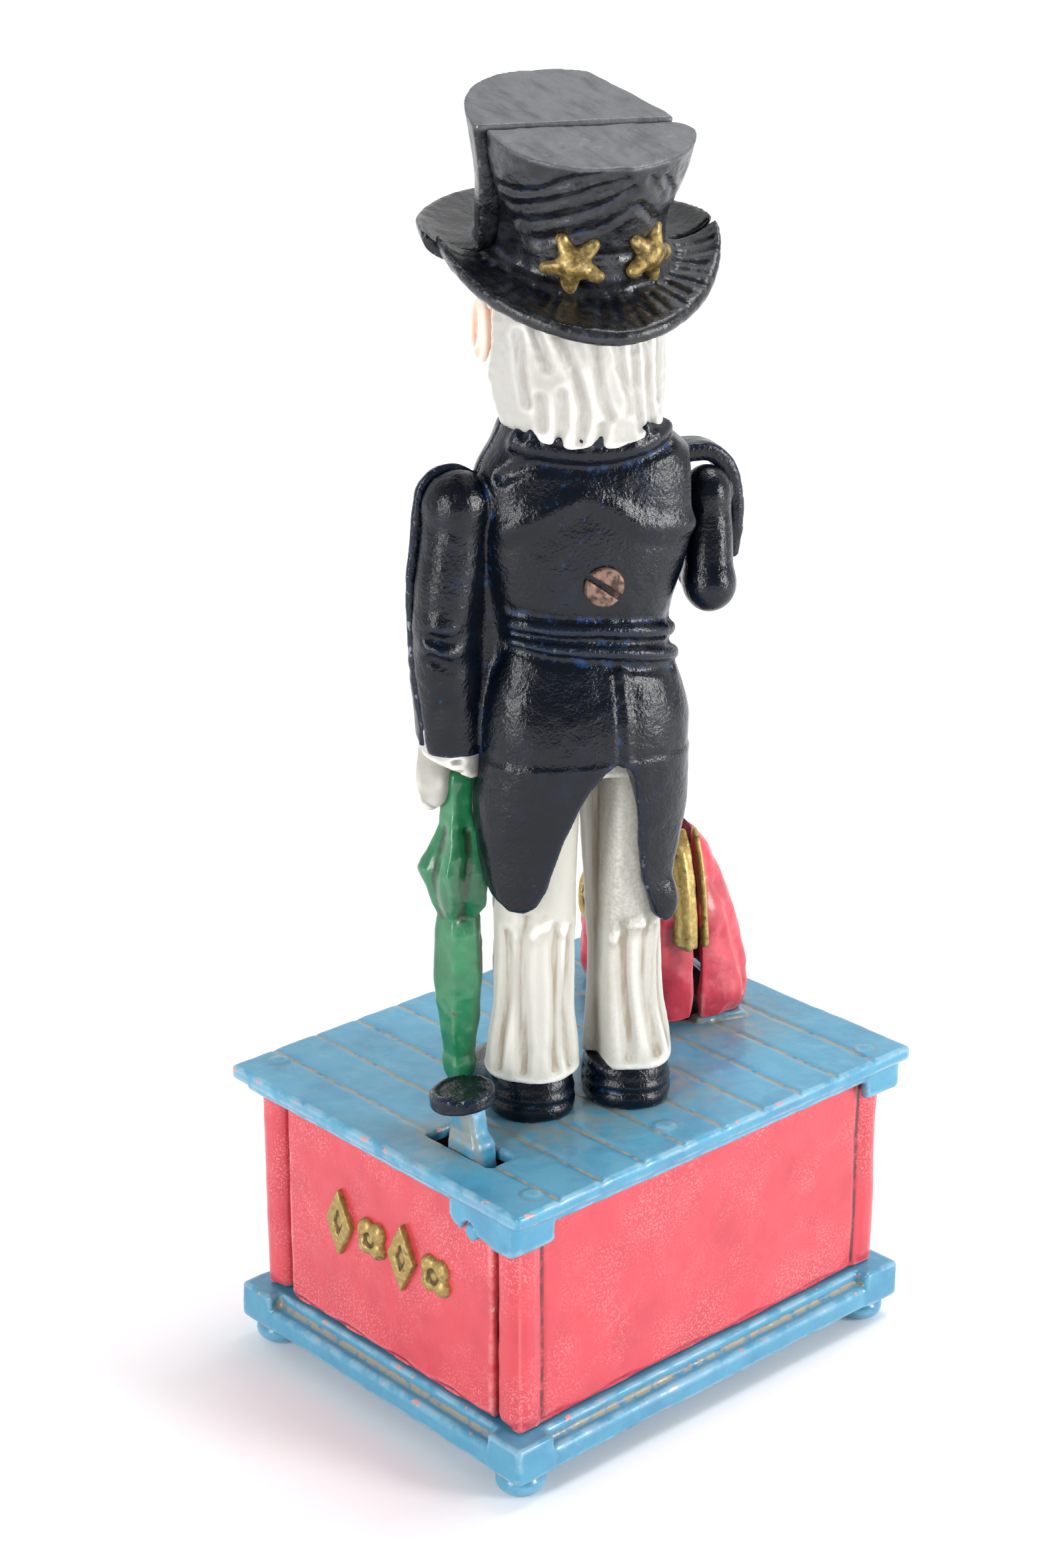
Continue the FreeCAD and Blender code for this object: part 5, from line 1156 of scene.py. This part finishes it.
def make_head():
    """Hair, face, eyes, moustache and side locks."""
    hair = Clay((-18.5, -0.5, 215), (21, 17.5, 253), 0.4)
    hair.add(stack(HEAD, 2.2))
    for x, z, r in ((9.5, 220.4, 2.4), (4.6, 219, 2.6), (-2.2, 218.2, 2.8), (-7.6, 218.6, 2.6),
                    (-12, 220.6, 2.4)):
        hair.add(ball(on_skin(HEAD, 2.2, [(x, max(z, 219.6))], 1, -1.9)[0], (r, 2, r * 0.9)), 3)
    for points, radius in (
            ([(10.2, 243.5), (8.6, 239), (7.2, 235), (5.4, 230), (4.4, 225), (4.6, 219)], 1.0),
            ([(13.8, 242), (12.6, 238), (11.6, 234.5)], 0.8),
            ([(2.4, 241), (2.2, 236), (1, 229), (-1, 224)], 0.9),
            ([(-2.6, 238), (-3.4, 234), (-5, 229), (-5.6, 225)], 0.9),
            ([(-6, 241), (-6.8, 233), (-7.4, 227), (-8.6, 221)], 1.0),
            ([(-9.4, 239), (-9.8, 232), (-10.6, 225), (-11.4, 220)], 0.9),
            ([(-12.4, 240), (-12.8, 233), (-13.2, 226)], 0.8),
            ([(16.4, 240), (16, 234), (15, 227)], 0.8), ([(0.2, 222), (0.6, 218)], 0.8),
            ([(9, 229), (8.6, 224), (8.8, 219)], 0.8), ([(12.8, 228), (12, 222)], 0.8)):
        hair.cut(chain(path_on(HEAD, 2.2, points, 1, 0.35), radius * 0.62), 1.8)
    hair.cut(ball((20.4, -1, 238.6), (3.4, 3.4, 7.4)), 0.7)
    hair.keep(behind, 0.7)
    publish("hair_back", hair, HAIR, "bank", FIGURE, rough=((0.3, 3.6), (0.2, 1.3)))
    face = Clay((-21.4, -22, 216), (22, 0.5, 256), 0.4)
    face.add(stack(FACE, 2.2))
    for side in BOTH:
        x = side
        face.cut(ball((5.9 * x, -18.4, 241.6), (4.2, 3.2, 2.9)), 1.6)
        face.add(chain(curve([(2.6 * x, -17.7, 246.2), (6 * x, -17.3, 246.7),
                              (10 * x, -14.8, 244.8)], 4), 0.85), 1.4)
        face.add(chain(curve([(2.9 * x, -16.4, 241.4), (5.9 * x, -16.5, 243.1),
                              (9 * x, -14.6, 241)], 4), 0.9), 0.6)
        face.add(chain(curve([(3.1 * x, -16.2, 240.9), (5.9 * x, -16.2, 239.3),
                              (8.8 * x, -14.7, 240.7)], 4), 0.5), 0.6)
        face.add(ball((9 * x, -12.2, 236.4), (4.4, 3.6, 4)), 3)
        face.add(ball((1.9 * x, -17.8, 236.4), (1.3, 1.5, 1.2)), 0.8)
        face.add(ball((18.7 * x + 0.4, -4.8, 238.6), (2.1, 4, 6.6)), 1.2)
        face.cut(ball((20.7 * x + 0.4, -4.9, 239.4), (1.1, 2.1, 4)), 0.9)
    face.add(pill((0, -16.4, 244.4), (0, -19.4, 237), 1.3, 1.9), 1.6)
    face.add(chain([(-3.6, -15.9, 233.1), (-1.2, -17, 233.5), (0, -16.9, 233.3),
                    (1.2, -17, 233.5), (3.6, -15.9, 233.1)], 0.75), 0.6)
    face.cut(chain([(-3.8, -16.8, 232.4), (0, -17.8, 232.5), (3.8, -16.8, 232.4)], 0.3), 0.4)
    face.cut(slab((0, -24, 222.4), (7.9, 14.4, 9), 0.5), 0.4)
    face.keep(before, 0.6)
    publish("face", face, SKIN, "bank", FIGURE, rough=((0.08, 3),))
    eyes = Clay((-9, -18, 238), (9, -12, 245), 0.3)
    for side in BOTH:
        eyes.add(ball((5.9 * side, -13.6, 241.3), 2.75))
    eyes.keep(lambda x, y, z: y + 14.2, 0.1)
    publish("eyes", eyes, EYE, "bank", FIGURE, paint=lambda v: np.clip(
        (1.25 - np.hypot(np.abs(v[:, 0]) - 5.6, v[:, 2] - 241.2)) / 0.4, 0, 1))
    tufts = Clay((-8.5, -21.5, 229), (8.5, -13, 236), 0.35)
    for side in BOTH:
        tufts.add(chain(curve([(0.3 * side, -18, 233.9), (3 * side, -17.9, 233.6),
                               (5.6 * side, -16.7, 232.6), (7.2 * side, -15.6, 231.4)], 4),
                        list(np.linspace(1.25, 0.5, 13))), 0.6)
    publish("moustache", tufts, HAIR, "bank", FIGURE, rough=((0.12, 1.6),))
    locks = Clay((-21, -17, 217), (21.5, 0.3, 252), 0.45)
    for side in BOTH:
        for k in range(5):
            y = -3.2 - 2.1 * k
            x_top = side * (17.6 - 0.035 * y * y) + 0.4
            x_low = side * (15.4 - 0.05 * y * y) + 0.3
            if k == 1:
                locks.add(pill((x_top, y, 248), (x_top, y, 246.5), 1.2), 0.8)
                locks.add(pill((x_low + side * 0.6, y, 231), (x_low - side, y, 222), 1.8, 1.5), 1)
                continue
            middle = (side * 17.4 * (1 - 0.0014 * y * y) + 0.4, y, 236)
            locks.add(chain(curve([(x_top, y, 248 - 1.2 * k), middle, (x_low, y - 0.4, 224)], 4),
                            list(np.linspace(1.2, 1.8, 9))), 0.9)
    locks.keep(before, 0.5)
    publish("side_locks", locks, HAIR, "bank", FIGURE, rough=((0.18, 3), (0.1, 1.2)))


def make_beard():
    """The pointed beard that nods."""
    clay = Clay((-8.4, -24, 206), (8.4, -8, 232), 0.4)
    clay.add(stack([(207.5, 0, -17.5, 0.8, 0.8), (211, 0, -17.6, 3, 2.4),
                    (217, 0, -17.3, 5.4, 3.9), (222.6, 0, -16.6, 6.8, 4.5),
                    (226.2, 0, -15.8, 6.9, 4.5), (229.3, 0, -13.9, 6.2, 3.3)], 2.2))
    for k in range(-3, 4):
        clay.cut(chain(curve([(1.9 * k, -20.4 + 0.24 * k * k, 229), (1.8 * k, -21.9 + 0.3 * k * k,
                                                                    222),
                              (1.1 * k, -21.3 + 0.2 * k * k, 215), (0.4 * k, -19.8, 209)], 5),
                       0.6), 0.9)
    publish("beard_tuft", clay, HAIR, "beard", FIGURE, rough=((0.15, 2),), stands_for=("beard",))


def make_right_arm():
    """The arm that lowers the coin: sleeve, cuff and open hand."""
    clay = Clay((-38.5, -37.5, 177), (-21, 11.5, 211.5), 0.45)
    arm = [(-27.3, 0, 203), (-27, 3.8, 184.8), (-28.6, -20, 187), (-32, -34, 189.2)]
    clay.add(chain(arm[:2], [4.9, 5.1]))
    clay.add(chain(arm[1:], [5.1, 4.5, 4.3]), 1.5)
    clay.add(ball((-26.9, 3.6, 184.8), (5.2, 6, 5.8)), 1)
    clay.add(ball((-27.3, 0, 203), (4.6, 5.6, 5.6)), 1.5)
    for y in (-6, -1.5, 2.4):
        clay.cut(chain([(-31.4, y - 1, 183 + y * 0.2), (-27, y - 0.5, 181), (-23, y, 184)], 0.6),
                 1.2)
    publish("right_sleeve", clay, BLACK, "right_arm", FIGURE, rough=((0.12, 5),),
            stands_for=("right_arm",))
    cuff = Clay((-38, -41.5, 184), (-27, -33.5, 195.5), 0.4)
    cuff.add(pill((-31.7, -33.5, 189), (-33, -39.6, 190), 4.7, 4.9))
    cuff.keep(lambda x, y, z: -40 - y, 0.5)
    cuff.keep(lambda x, y, z: y + 34.4, 0.5)
    publish("right_cuff", cuff, HAIR, "right_arm", FIGURE)
    palm = Clay((-41, -57, 185.5), (-26.5, -37, 193.5), 0.35)
    palm.add(slab((-34, -45, 189.4), (4.8, 5.6, 1.5), 1.4))
    palm.add(pill((-33.2, -39, 189.8), (-34, -43, 189.6), 3, 2.2), 2)
    for x, reach in ((-38, 52.6), (-35.4, 54.4), (-32.9, 54.6), (-30.5, 53)):
        palm.add(chain([(x, -46, 189), (x - 0.2, -50.5, 188.9), (x, -reach, 190.4)],
                       [1.55, 1.4, 1.2]), 0.35)
    palm.add(chain([(-30.6, -42.5, 189.6), (-28.4, -45.5, 190.8), (-28.6, -48.4, 191.6)],
                   [1.9, 1.6, 1.2]), 0.8)
    palm.cut(ball((-34, -46, 193), (4.4, 5.6, 3)), 1.2)
    publish("right_hand", palm, GLOVE, "right_arm", FIGURE, rough=((0.1, 3),))


def facets(centre, rows, angles, soft):
    """A many-sided upright bar: rows of (z, a distance for each side)."""
    table = np.array(rows, float)
    turn = np.radians(angles)

    def field(x, y, z):
        found = None
        for k, a in enumerate(turn):
            reach = np.interp(np.ravel(z), table[:, 0], table[:, k + 1]).reshape(np.shape(z))
            side = (x - centre[0]) * math.cos(a) + (y - centre[1]) * math.sin(a) - reach
            found = side if found is None else -blend_min(-found, -side, soft)
        ends = np.maximum(table[0, 0] - z, z - table[-1, 0])
        return -blend_min(-found, -(ends + 0 * found), soft)

    reach = table[:, 1:].max() + 2
    return Shape(field, (centre[0] - reach, centre[1] - reach, table[0, 0]),
                 (centre[0] + reach, centre[1] + reach, table[-1, 0]))


def make_umbrella():
    """The furled umbrella, with flat sides that swell where its cover is tied."""
    profile = ((73.2, 1.7), (76, 2.4), (78, 3.4), (80, 3.9), (82.5, 3.5), (88, 4.2), (96, 4.9),
               (105, 5.2), (111, 5.0), (114.4, 4.4), (117, 5.6), (121, 6.6), (125, 6.9),
               (129, 6.2), (132.4, 5.2), (135, 4.2), (138, 3.8), (142, 3.7), (144.8, 4.1),
               (146.6, 3.8), (148, 2.4))
    rows = []
    for z, r in profile:
        left = 1.9 * math.exp(-((z - 125.5) / 3.2) ** 2)
        right = 1.3 * math.exp(-((z - 118) / 2.6) ** 2) + 0.7 * math.exp(-((z - 131) / 2.2) ** 2)
        rows.append((z, 0.86 * r + 0.5 * left, 0.94 * r, r + right, 0.9 * r, 0.95 * r,
                     0.9 * r + left))
    clay = Clay((15.5, -13.5, 72.5), (36, 6, 148.4), 0.4)
    clay.add(facets((25.3, -4), rows, (23, 96, 150, 205, 262, 322), 0.7))
    for a in (20, 95, 160, 230, 300):
        spots = [(25.3 + r * 1.02 * math.cos(math.radians(a + 0.9 * (z - 124))),
                  -4 + r * 1.02 * math.sin(math.radians(a + 0.9 * (z - 124))), z)
                 for z, r in ((134, 4.6), (129, 6.2), (124, 6.7), (119, 6.3), (115.4, 4.9))]
        clay.cut(chain(spots, 0.45), 2.4)
    publish("furled_umbrella", clay, GREEN, "bank", FIGURE, rough=((0.32, 5), (0.14, 2.2)),
            stands_for=("umbrella",))


make_coat_back()
make_coat_front()
make_waistcoat()
make_trousers()
make_shoes()
make_left_hand()
make_hat()
make_head()
make_beard()
make_right_arm()
make_umbrella()


# ------------------------------------------------------------------ the bag
BAG_POWER = 3.0
FIXED = [(1.2, 0, 0, 17, 20.6), (4, 0, 0, 18, 21.2), (10, 0, 0, 17.6, 21.4),
         (19, 0, 0, 15, 21.2), (30, 0, 0, 11.4, 20), (37, 0, 0, 8.4, 18.4),
         (42.4, 0, 0, 5.8, 16.4), (45.4, 0, 0, 3.4, 14.8)]
MOVING = [(1.4, 0, 0, 14.4, 20.4), (5, 0, 0, 15.7, 21), (14, 0, 0, 16.1, 21.2),
          (24, 0, 0, 15.5, 21), (32, 0, 0, 13.8, 20), (38, 0, 0, 11, 18.4),
          (42, 0, 0, 8, 16.6), (45.4, 0, 0, 4.4, 14.8)]


def inset(rows, depth):
    return [(z, x, y, rx - depth, ry - depth) for z, x, y, rx, ry in rows]


def make_bag_half(name, rows, side, body, node):
    low, high = sorted((side * 0.3, side * 19.4))
    clay = Clay((low, -22.5, 0.8), (high, 22.5, 48), 0.5)
    clay.add(stack(rows, BAG_POWER))
    # the cloth gathers in soft folds towards the mouth and sags at the foot
    for y, lean, top, radius in ((-15, 2, 36, 1.5), (-7, -1.5, 30, 1.2), (2, 1.5, 34, 1.4),
                                 (9.5, -2, 27, 1.3), (16.5, 1, 33, 1.5)):
        spots = []
        for z in np.linspace(6, top, 7):
            rx, ry = oval_at(rows, z)[2:]
            at = y + lean * (z / 20)
            reach = rx * (1 - min(abs(at) / ry, 0.98) ** BAG_POWER) ** (1 / BAG_POWER)
            spots.append((side * (reach + 0.5), at, z))
        clay.cut(chain(spots, list(np.linspace(radius, radius * 0.5, 7))), 3.0)
    for x, z in ((10.6, 9), (7.2, 22), (12.4, 17)):
        clay.cut(ball((side * x, 23.2, z), (2, 3, 5)), 2.5)
        clay.cut(ball((side * x, -23.2, z + 3), (2, 3, 5)), 2.5)
    hollow = [(-2, *inset(rows, 2.3)[0][1:])] + inset(rows, 2.3)[1:-1] + [(56, 0, 0, 1.6, 13)]
    clay.cut(stack(hollow, BAG_POWER), 0.4)
    clay.keep(lambda x, y, z: 0.8 - side * x, 0.5)
    if side > 0:
        clay.cut(slab((8.6, 0, 0), (3.2, 8.4, 8.2), 0.6), 0.4)
    publish(name, clay, BAG_RED, body, BAG, rough=((0.5, 6.5), (0.26, 2.8)), stands_for=(node,))


def make_bag_frame(name, rows, side, width, body, node):
    """The gilt frame round the mouth of one half of the bag."""
    outer = stack([(z, x, y, rx + 1.5, ry + 1.5) for z, x, y, rx, ry in rows[:-1]]
                  + [(46.4, 0, 0, 3.8, 15.4)], BAG_POWER)
    low, high = sorted((side * 0.3, side * (width + 2.4)))
    clay = Clay((low, -24, 18), (high, 24, 51.5), 0.45)
    clay.add(outer)
    clay.cut(stack([(-2, *inset(rows, 1.2)[0][1:])] + inset(rows, 1.2)[1:-1]
                   + [(60, 0, 0, 1.6, 13)], BAG_POWER), 0.3)
    clay.keep(lambda x, y, z: np.maximum(0.75 - side * x, side * x - width), 0.6)
    clay.keep(lambda x, y, z: 19.4 + 0.25 * side * x - z, 0.9)
    if width > 3:
        for end in BOTH:
            ridge = [(side * width * 0.52, end * (oval_at(rows, z)[3] + 1.3), z)
                     for z in np.linspace(20.5, 42, 9)]
            clay.add(chain(ridge, 0.75), 1.3)
    publish(name, clay, GOLD, body, BAG, rough=((0.12, 3),), stands_for=(node,))


def make_medal():
    """The gilt rosette on the side of the moving half."""
    clay = Clay((12.4, -9, 20), (19.8, 7, 36), 0.35)
    face = turned(puck((0, 0, 0), 6.9, 1.1, 0.7), 75, (0, 1, 0))
    dish = turned(puck((0, 0, 1.2), 4.9, 0.9, 0.4), 75, (0, 1, 0))
    spot = (16.2, -1, 27.6)
    clay.add(moved(face, spot)).cut(moved(dish, spot), 0.4)
    for k in range(5):
        a = 2 * math.pi * k / 5
        clay.add(ball((16.9, spot[1] + 2.5 * math.cos(a), spot[2] + 2.5 * math.sin(a)), 1.35), 0.4)
    clay.add(ball((17.2, *spot[1:]), 1.4), 0.3)
    publish("bag_medallion", clay, GOLD, "bag_jaw", BAG, rough=((0.1, 2),),
            stands_for=("bag_medal",))


# ------------------------------------------------------------------ gilt ornaments
def make_side_ornaments(name, side, node):
    """Lozenges and four-petalled flowers, turn about, in a row on a side wall."""
    low, high = box_corner(node)
    face = side * 55.3
    ends = sorted((face - side * 0.6, face + side * 1.8))
    clay = Clay((min(ends) - 0.2, low[1] - 0.6, low[2] - 0.6),
                (max(ends) + 0.2, high[1] + 0.6, high[2] + 0.6), 0.35)
    for k in range(4):
        y, z = side * (k - 1.5) * 10.6 + 1.4, 42
        if k % 2 == 0:
            corners = [(y + 4.4, z), (y, z + 8.2), (y - 4.4, z), (y, z - 8.2)]
            clay.add(outline(corners, 0, *ends, 0.55))
            small = [(y + 1.5, z), (y, z + 3.4), (y - 1.5, z), (y, z - 3.4)]
            clay.cut(outline(small, 0, *sorted((face + side * 1.1, face + side * 4)), 0.2), 0.5)
            continue
        for turn in (45, 135, 225, 315):
            a = math.radians(turn)
            spot = (face + side * 0.3, y + 2.6 * math.cos(a), z + 2.6 * math.sin(a))
            clay.add(ball(spot, (1.8, 2.5, 2.5)), 0.35)
        clay.cut(ball((face + side * 1.7, y, z), (0.9, 1.9, 1.9)), 0.5)
        clay.add(ball((face + side * 0.7, y, z), (0.9, 1.2, 1.2)), 0.2)
    publish(name, clay, GOLD, "bank", rough=((0.14, 2.4), (0.08, 1)), stands_for=(node,))


def make_front_ornament():
    """A ring with a five-petalled flower on the front wall."""
    low, high = box_corner("front_ornament")
    clay = Clay((low[0] - 1, low[1] - 1, low[2] - 1), (high[0] + 1, high[1] + 2, high[2] + 1),
                0.45)
    ring = [(14 * math.cos(a), -42.9, 38 + 14 * math.sin(a))
            for a in np.linspace(0, 2 * math.pi, 40)]
    clay.add(chain(ring, 1.35))
    for k in range(5):
        a = math.radians(90 + 72 * k)
        clay.add(ball((5.9 * math.cos(a), -42.8, 38 + 5.9 * math.sin(a)), (4.1, 1.5, 4.1)), 0.6)
        clay.cut(pill((2.6 * math.cos(a), -44.5, 38 + 2.6 * math.sin(a)),
                      (8.6 * math.cos(a), -44.5, 38 + 8.6 * math.sin(a)), 0.5), 0.6)
    clay.add(ball((0, -43.4, 38), (2.8, 1.7, 2.8)), 0.3)
    publish("front_rosette", clay, GOLD, "bank", rough=((0.12, 3),),
            stands_for=("front_ornament",))


# ------------------------------------------------------------------ lever, button, screws
def make_lever():
    """The thumb lever with its round hub."""
    clay = Clay((42.4, 9, 52.8), (49.6, 37, 81), 0.45)
    side = [(23.6, 63.5), (22.4, 68), (19.6, 79.6), (12.6, 79.6), (12.2, 68), (12.9, 57.2),
            (13.4, 53.6), (21, 53.6), (31.5, 55), (31.5, 63.4)]
    clay.add(outline(side, 0, LEVER_X - 2.3, LEVER_X + 2.3, 0.7))
    clay.add(slab((LEVER_X, 17.3, 67.4), (2.9, 5.2, 4.6), 1.2), 2.5)
    clay.add(turned(puck((LEVER_X, SHAFT_Y, SHAFT_Z), 4.4, 2.8, 0.5), 90, (0, 1, 0),
                    (LEVER_X, SHAFT_Y, SHAFT_Z)))
    clay.cut(turned(slab((LEVER_X + 3.4, 10.6, 72), (2.4, 2.6, 14), 0.3), 32, (0, 0, 1),
                    (LEVER_X + 2.2, 12.4, 72)), 0.5)
    publish("thumb_lever", clay, BLUE, "lever", rough=((0.2, 4), (0.08, 1.6)),
            paint=lambda v: np.clip((v[:, 0] - LEVER_X - 0.6) / 1.4, 0, 1), stands_for=("lever",))


def make_button():
    """The thumb button, a tilted disc with a raised rim."""
    low, high = box_corner("button")
    centre = (low + high) / 2
    clay = Clay(low - 1.4, high + 1.8, 0.35)
    disc = puck((0, 0, 0), 7.1, 1.6, 0.8, -0.12)
    rim = chain([(6.0 * math.cos(a), 6.0 * math.sin(a), 1.2) for a in
                 np.radians(np.arange(-200, 30, 15))], list(np.linspace(0.35, 1.15, 16)))
    clay.add(moved(turned(disc, 8, (1, 0.8, 0)), centre))
    clay.add(moved(turned(rim, 8, (1, 0.8, 0)), centre), 0.7)
    publish("thumb_button", clay, BLACK, "lever", rough=((0.16, 4), (0.08, 1.5)),
            stands_for=("button",))


def make_torso_screw():
    """The slotted screw in the back of the coat."""
    clay = Clay((-5, 10.6, 184.6), (3.6, 15.4, 193.6), 0.25)
    head = turned(puck((0, 0, 0), 4.05, 1.5, 0.5), 90, (1, 0, 0))
    clay.add(moved(head, (-0.8, 13.1, 189)))
    slit = turned(slab((0, 0, 0), (6, 2.2, 0.62), 0.15), -35, (0, 1, 0))
    clay.cut(moved(slit, (-0.8, 15.2, 189)), 0.2)
    clay.cut(ball((0.2, 15.0, 191.4), (1.1, 0.5, 0.8)), 0.4)
    publish("torso_screw", clay, COPPER, "bank", FIGURE, rough=((0.1, 1.6),),
            stands_for=("figure_screw",))


def make_spring():
    """The lever's return spring, wound with close ends."""
    low, high = box_corner("return_spring")
    turns, wire, ring = 11, 0.45, 10
    closing, pressed = 0.7, 0.885
    coil = (high[0] - low[0]) / 2 - wire
    middle = (low + high) / 2
    share = np.linspace(0, 1, turns * 28 + 1)
    rise = share - closing * np.sin(2 * math.pi * share) / (2 * math.pi)
    angle = 2 * math.pi * turns * share[:, None]
    round_wire = 2 * math.pi * np.arange(ring)[None, :] / ring
    reach = coil + wire * np.cos(round_wire)
    height = low[2] + wire + (high[2] - low[2] - 2 * wire) * rise[:, None]
    points = np.stack([middle[0] + reach * np.cos(angle), middle[1] + reach * np.sin(angle),
                       height + wire * np.sin(round_wire)], -1).reshape(-1, 3) * MM
    faces = [(k * ring + j, (k + 1) * ring + j, (k + 1) * ring + (j + 1) % ring,
              k * ring + (j + 1) % ring) for k in range(len(share) - 1) for j in range(ring)]
    last = (len(share) - 1) * ring
    faces += [tuple(range(ring)), tuple(last + j for j in reversed(range(ring)))]
    mesh = bpy.data.meshes.new("lever_spring")
    mesh.from_pydata(points.tolist(), [], faces)
    mesh.shade_smooth()
    spring = mount("lever_spring", mesh, STEEL, "bank", ("return_spring",))
    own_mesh(spring)


def paint_node(node, material):
    """Gives a CAD node that shows as it is its material."""
    mesh = frame["nodes"][node].data
    mesh.materials.clear()
    mesh.materials.append(material)


make_bag_half("bag_outer_half", FIXED, -1, "bank", "bag_fixed_half")
make_bag_half("bag_inner_half", MOVING, 1, "bag_jaw", "bag_moving_half")
make_bag_frame("bag_outer_frame", FIXED, -1, 2.1, "bank", "bag_fixed_frame")
make_bag_frame("bag_inner_frame", MOVING, 1, 6.2, "bag_jaw", "bag_moving_frame")
make_medal()
make_side_ornaments("left_ornaments", 1, "left_side_ornaments")
make_side_ornaments("right_ornaments", -1, "right_side_ornaments")
make_front_ornament()
make_lever()
make_button()
make_torso_screw()
make_spring()
for node in ("base_screws", "figure_foot_screws", "bag_screws", "trap_screw", "push_rod",
             "beard_pin", "arm_trunnion"):
    paint_node(node, STEEL)
for node in ("lift_arm", "jaw_arm", "jaw_legs", "jaw_rod", "jaw_crank", "arm_crank", "trap_cover"):
    paint_node(node, IRON)
paint_node("rocker_shaft", BLUE)


# ------------------------------------------------------------------ floor, light, camera
def make_stage():
    """A pale paper floor that glows white far off, and a surround lit from beyond."""
    mesh = bpy.data.meshes.new("floor")
    half = 6.0
    mesh.from_pydata([(-half, -half, 0), (half, -half, 0), (half, half, 0), (-half, half, 0)], [],
                     [(0, 1, 2, 3)])
    floor = bpy.data.objects.new("floor", mesh)
    bpy.context.scene.collection.objects.link(floor)
    p = Paint("floor_paper", "f4f4f6")
    p.roughen(0.75)
    p.bump(p.noise(4, 3), 0.01)
    distance = p.nodes.new("ShaderNodeVectorMath")
    distance.operation = "LENGTH"
    p.links.new(p.where, distance.inputs[0])
    glow = p.math("MULTIPLY", p.ramp(distance.outputs["Value"], 0.15, 0.7), 0.5)
    p.links.new(p.math("ADD", glow, 0.05), p.shader.inputs["Emission Strength"])
    p.shader.inputs["Emission Color"].default_value = (1, 1, 1, 1)
    floor.data.materials.append(p.done())
    world = bpy.data.worlds.new("studio")
    world.use_nodes = True
    nodes, links = world.node_tree.nodes, world.node_tree.links
    way = nodes.new("ShaderNodeVectorMath")
    way.operation = "DOT_PRODUCT"
    links.new(nodes.new("ShaderNodeTexCoord").outputs["Generated"], way.inputs[0])
    way.inputs[1].default_value = (0.58, 0.64, 0.5)
    level = nodes.new("ShaderNodeMapRange")
    level.interpolation_type = "SMOOTHSTEP"
    for key, number in (("From Min", 0.0), ("From Max", 0.6), ("To Min", 1.0), ("To Max", 0.25)):
        level.inputs[key].default_value = number
    links.new(way.outputs["Value"], level.inputs["Value"])
    links.new(level.outputs["Result"], nodes["Background"].inputs["Strength"])
    nodes["Background"].inputs["Color"].default_value = (1, 1, 1, 1)
    bpy.context.scene.world = world
    bpy.context.scene.view_settings.view_transform = "Standard"


def softbox(name, place, aim, size, power):
    light = bpy.data.lights.new(name, "AREA")
    light.shape = "RECTANGLE"
    light.size, light.size_y = size
    light.energy = power
    lamp = bpy.data.objects.new(name, light)
    lamp.location = place
    lamp.rotation_euler = (Vector(aim) - Vector(place)).to_track_quat("-Z", "Y").to_euler()
    bpy.context.scene.collection.objects.link(lamp)


def make_camera():
    """The viewpoint: behind the figure's left shoulder, looking down a little."""
    azimuth, elevation = math.radians(137.84), math.radians(20.65)
    back = Vector((math.sin(azimuth) * math.cos(elevation),
                   -math.cos(azimuth) * math.cos(elevation), math.sin(elevation)))
    camera = bpy.data.cameras.new("camera")
    camera.sensor_fit = "VERTICAL"
    camera.sensor_height = 36
    camera.sensor_width = 24
    camera.lens = 67.9
    camera.clip_start = 0.01
    eye = bpy.data.objects.new("camera", camera)
    eye.location = Vector((411.2, 437.2, 360.6)) * MM
    eye.rotation_euler = back.to_track_quat("Z", "Y").to_euler()
    bpy.context.scene.collection.objects.link(eye)
    bpy.context.scene.camera = eye


make_stage()
softbox("left_window", (1.1, 0.12, 0.5), (0, 0, 0.15), (0.25, 0.8), 9)
softbox("right_window", (-0.5, 1.1, 0.42), (0, 0, 0.15), (0.34, 0.6), 12.5)
softbox("overhead", (-0.3, 0.05, 1.15), (0, 0, 0.1), (0.45, 0.45), 5)
make_camera()
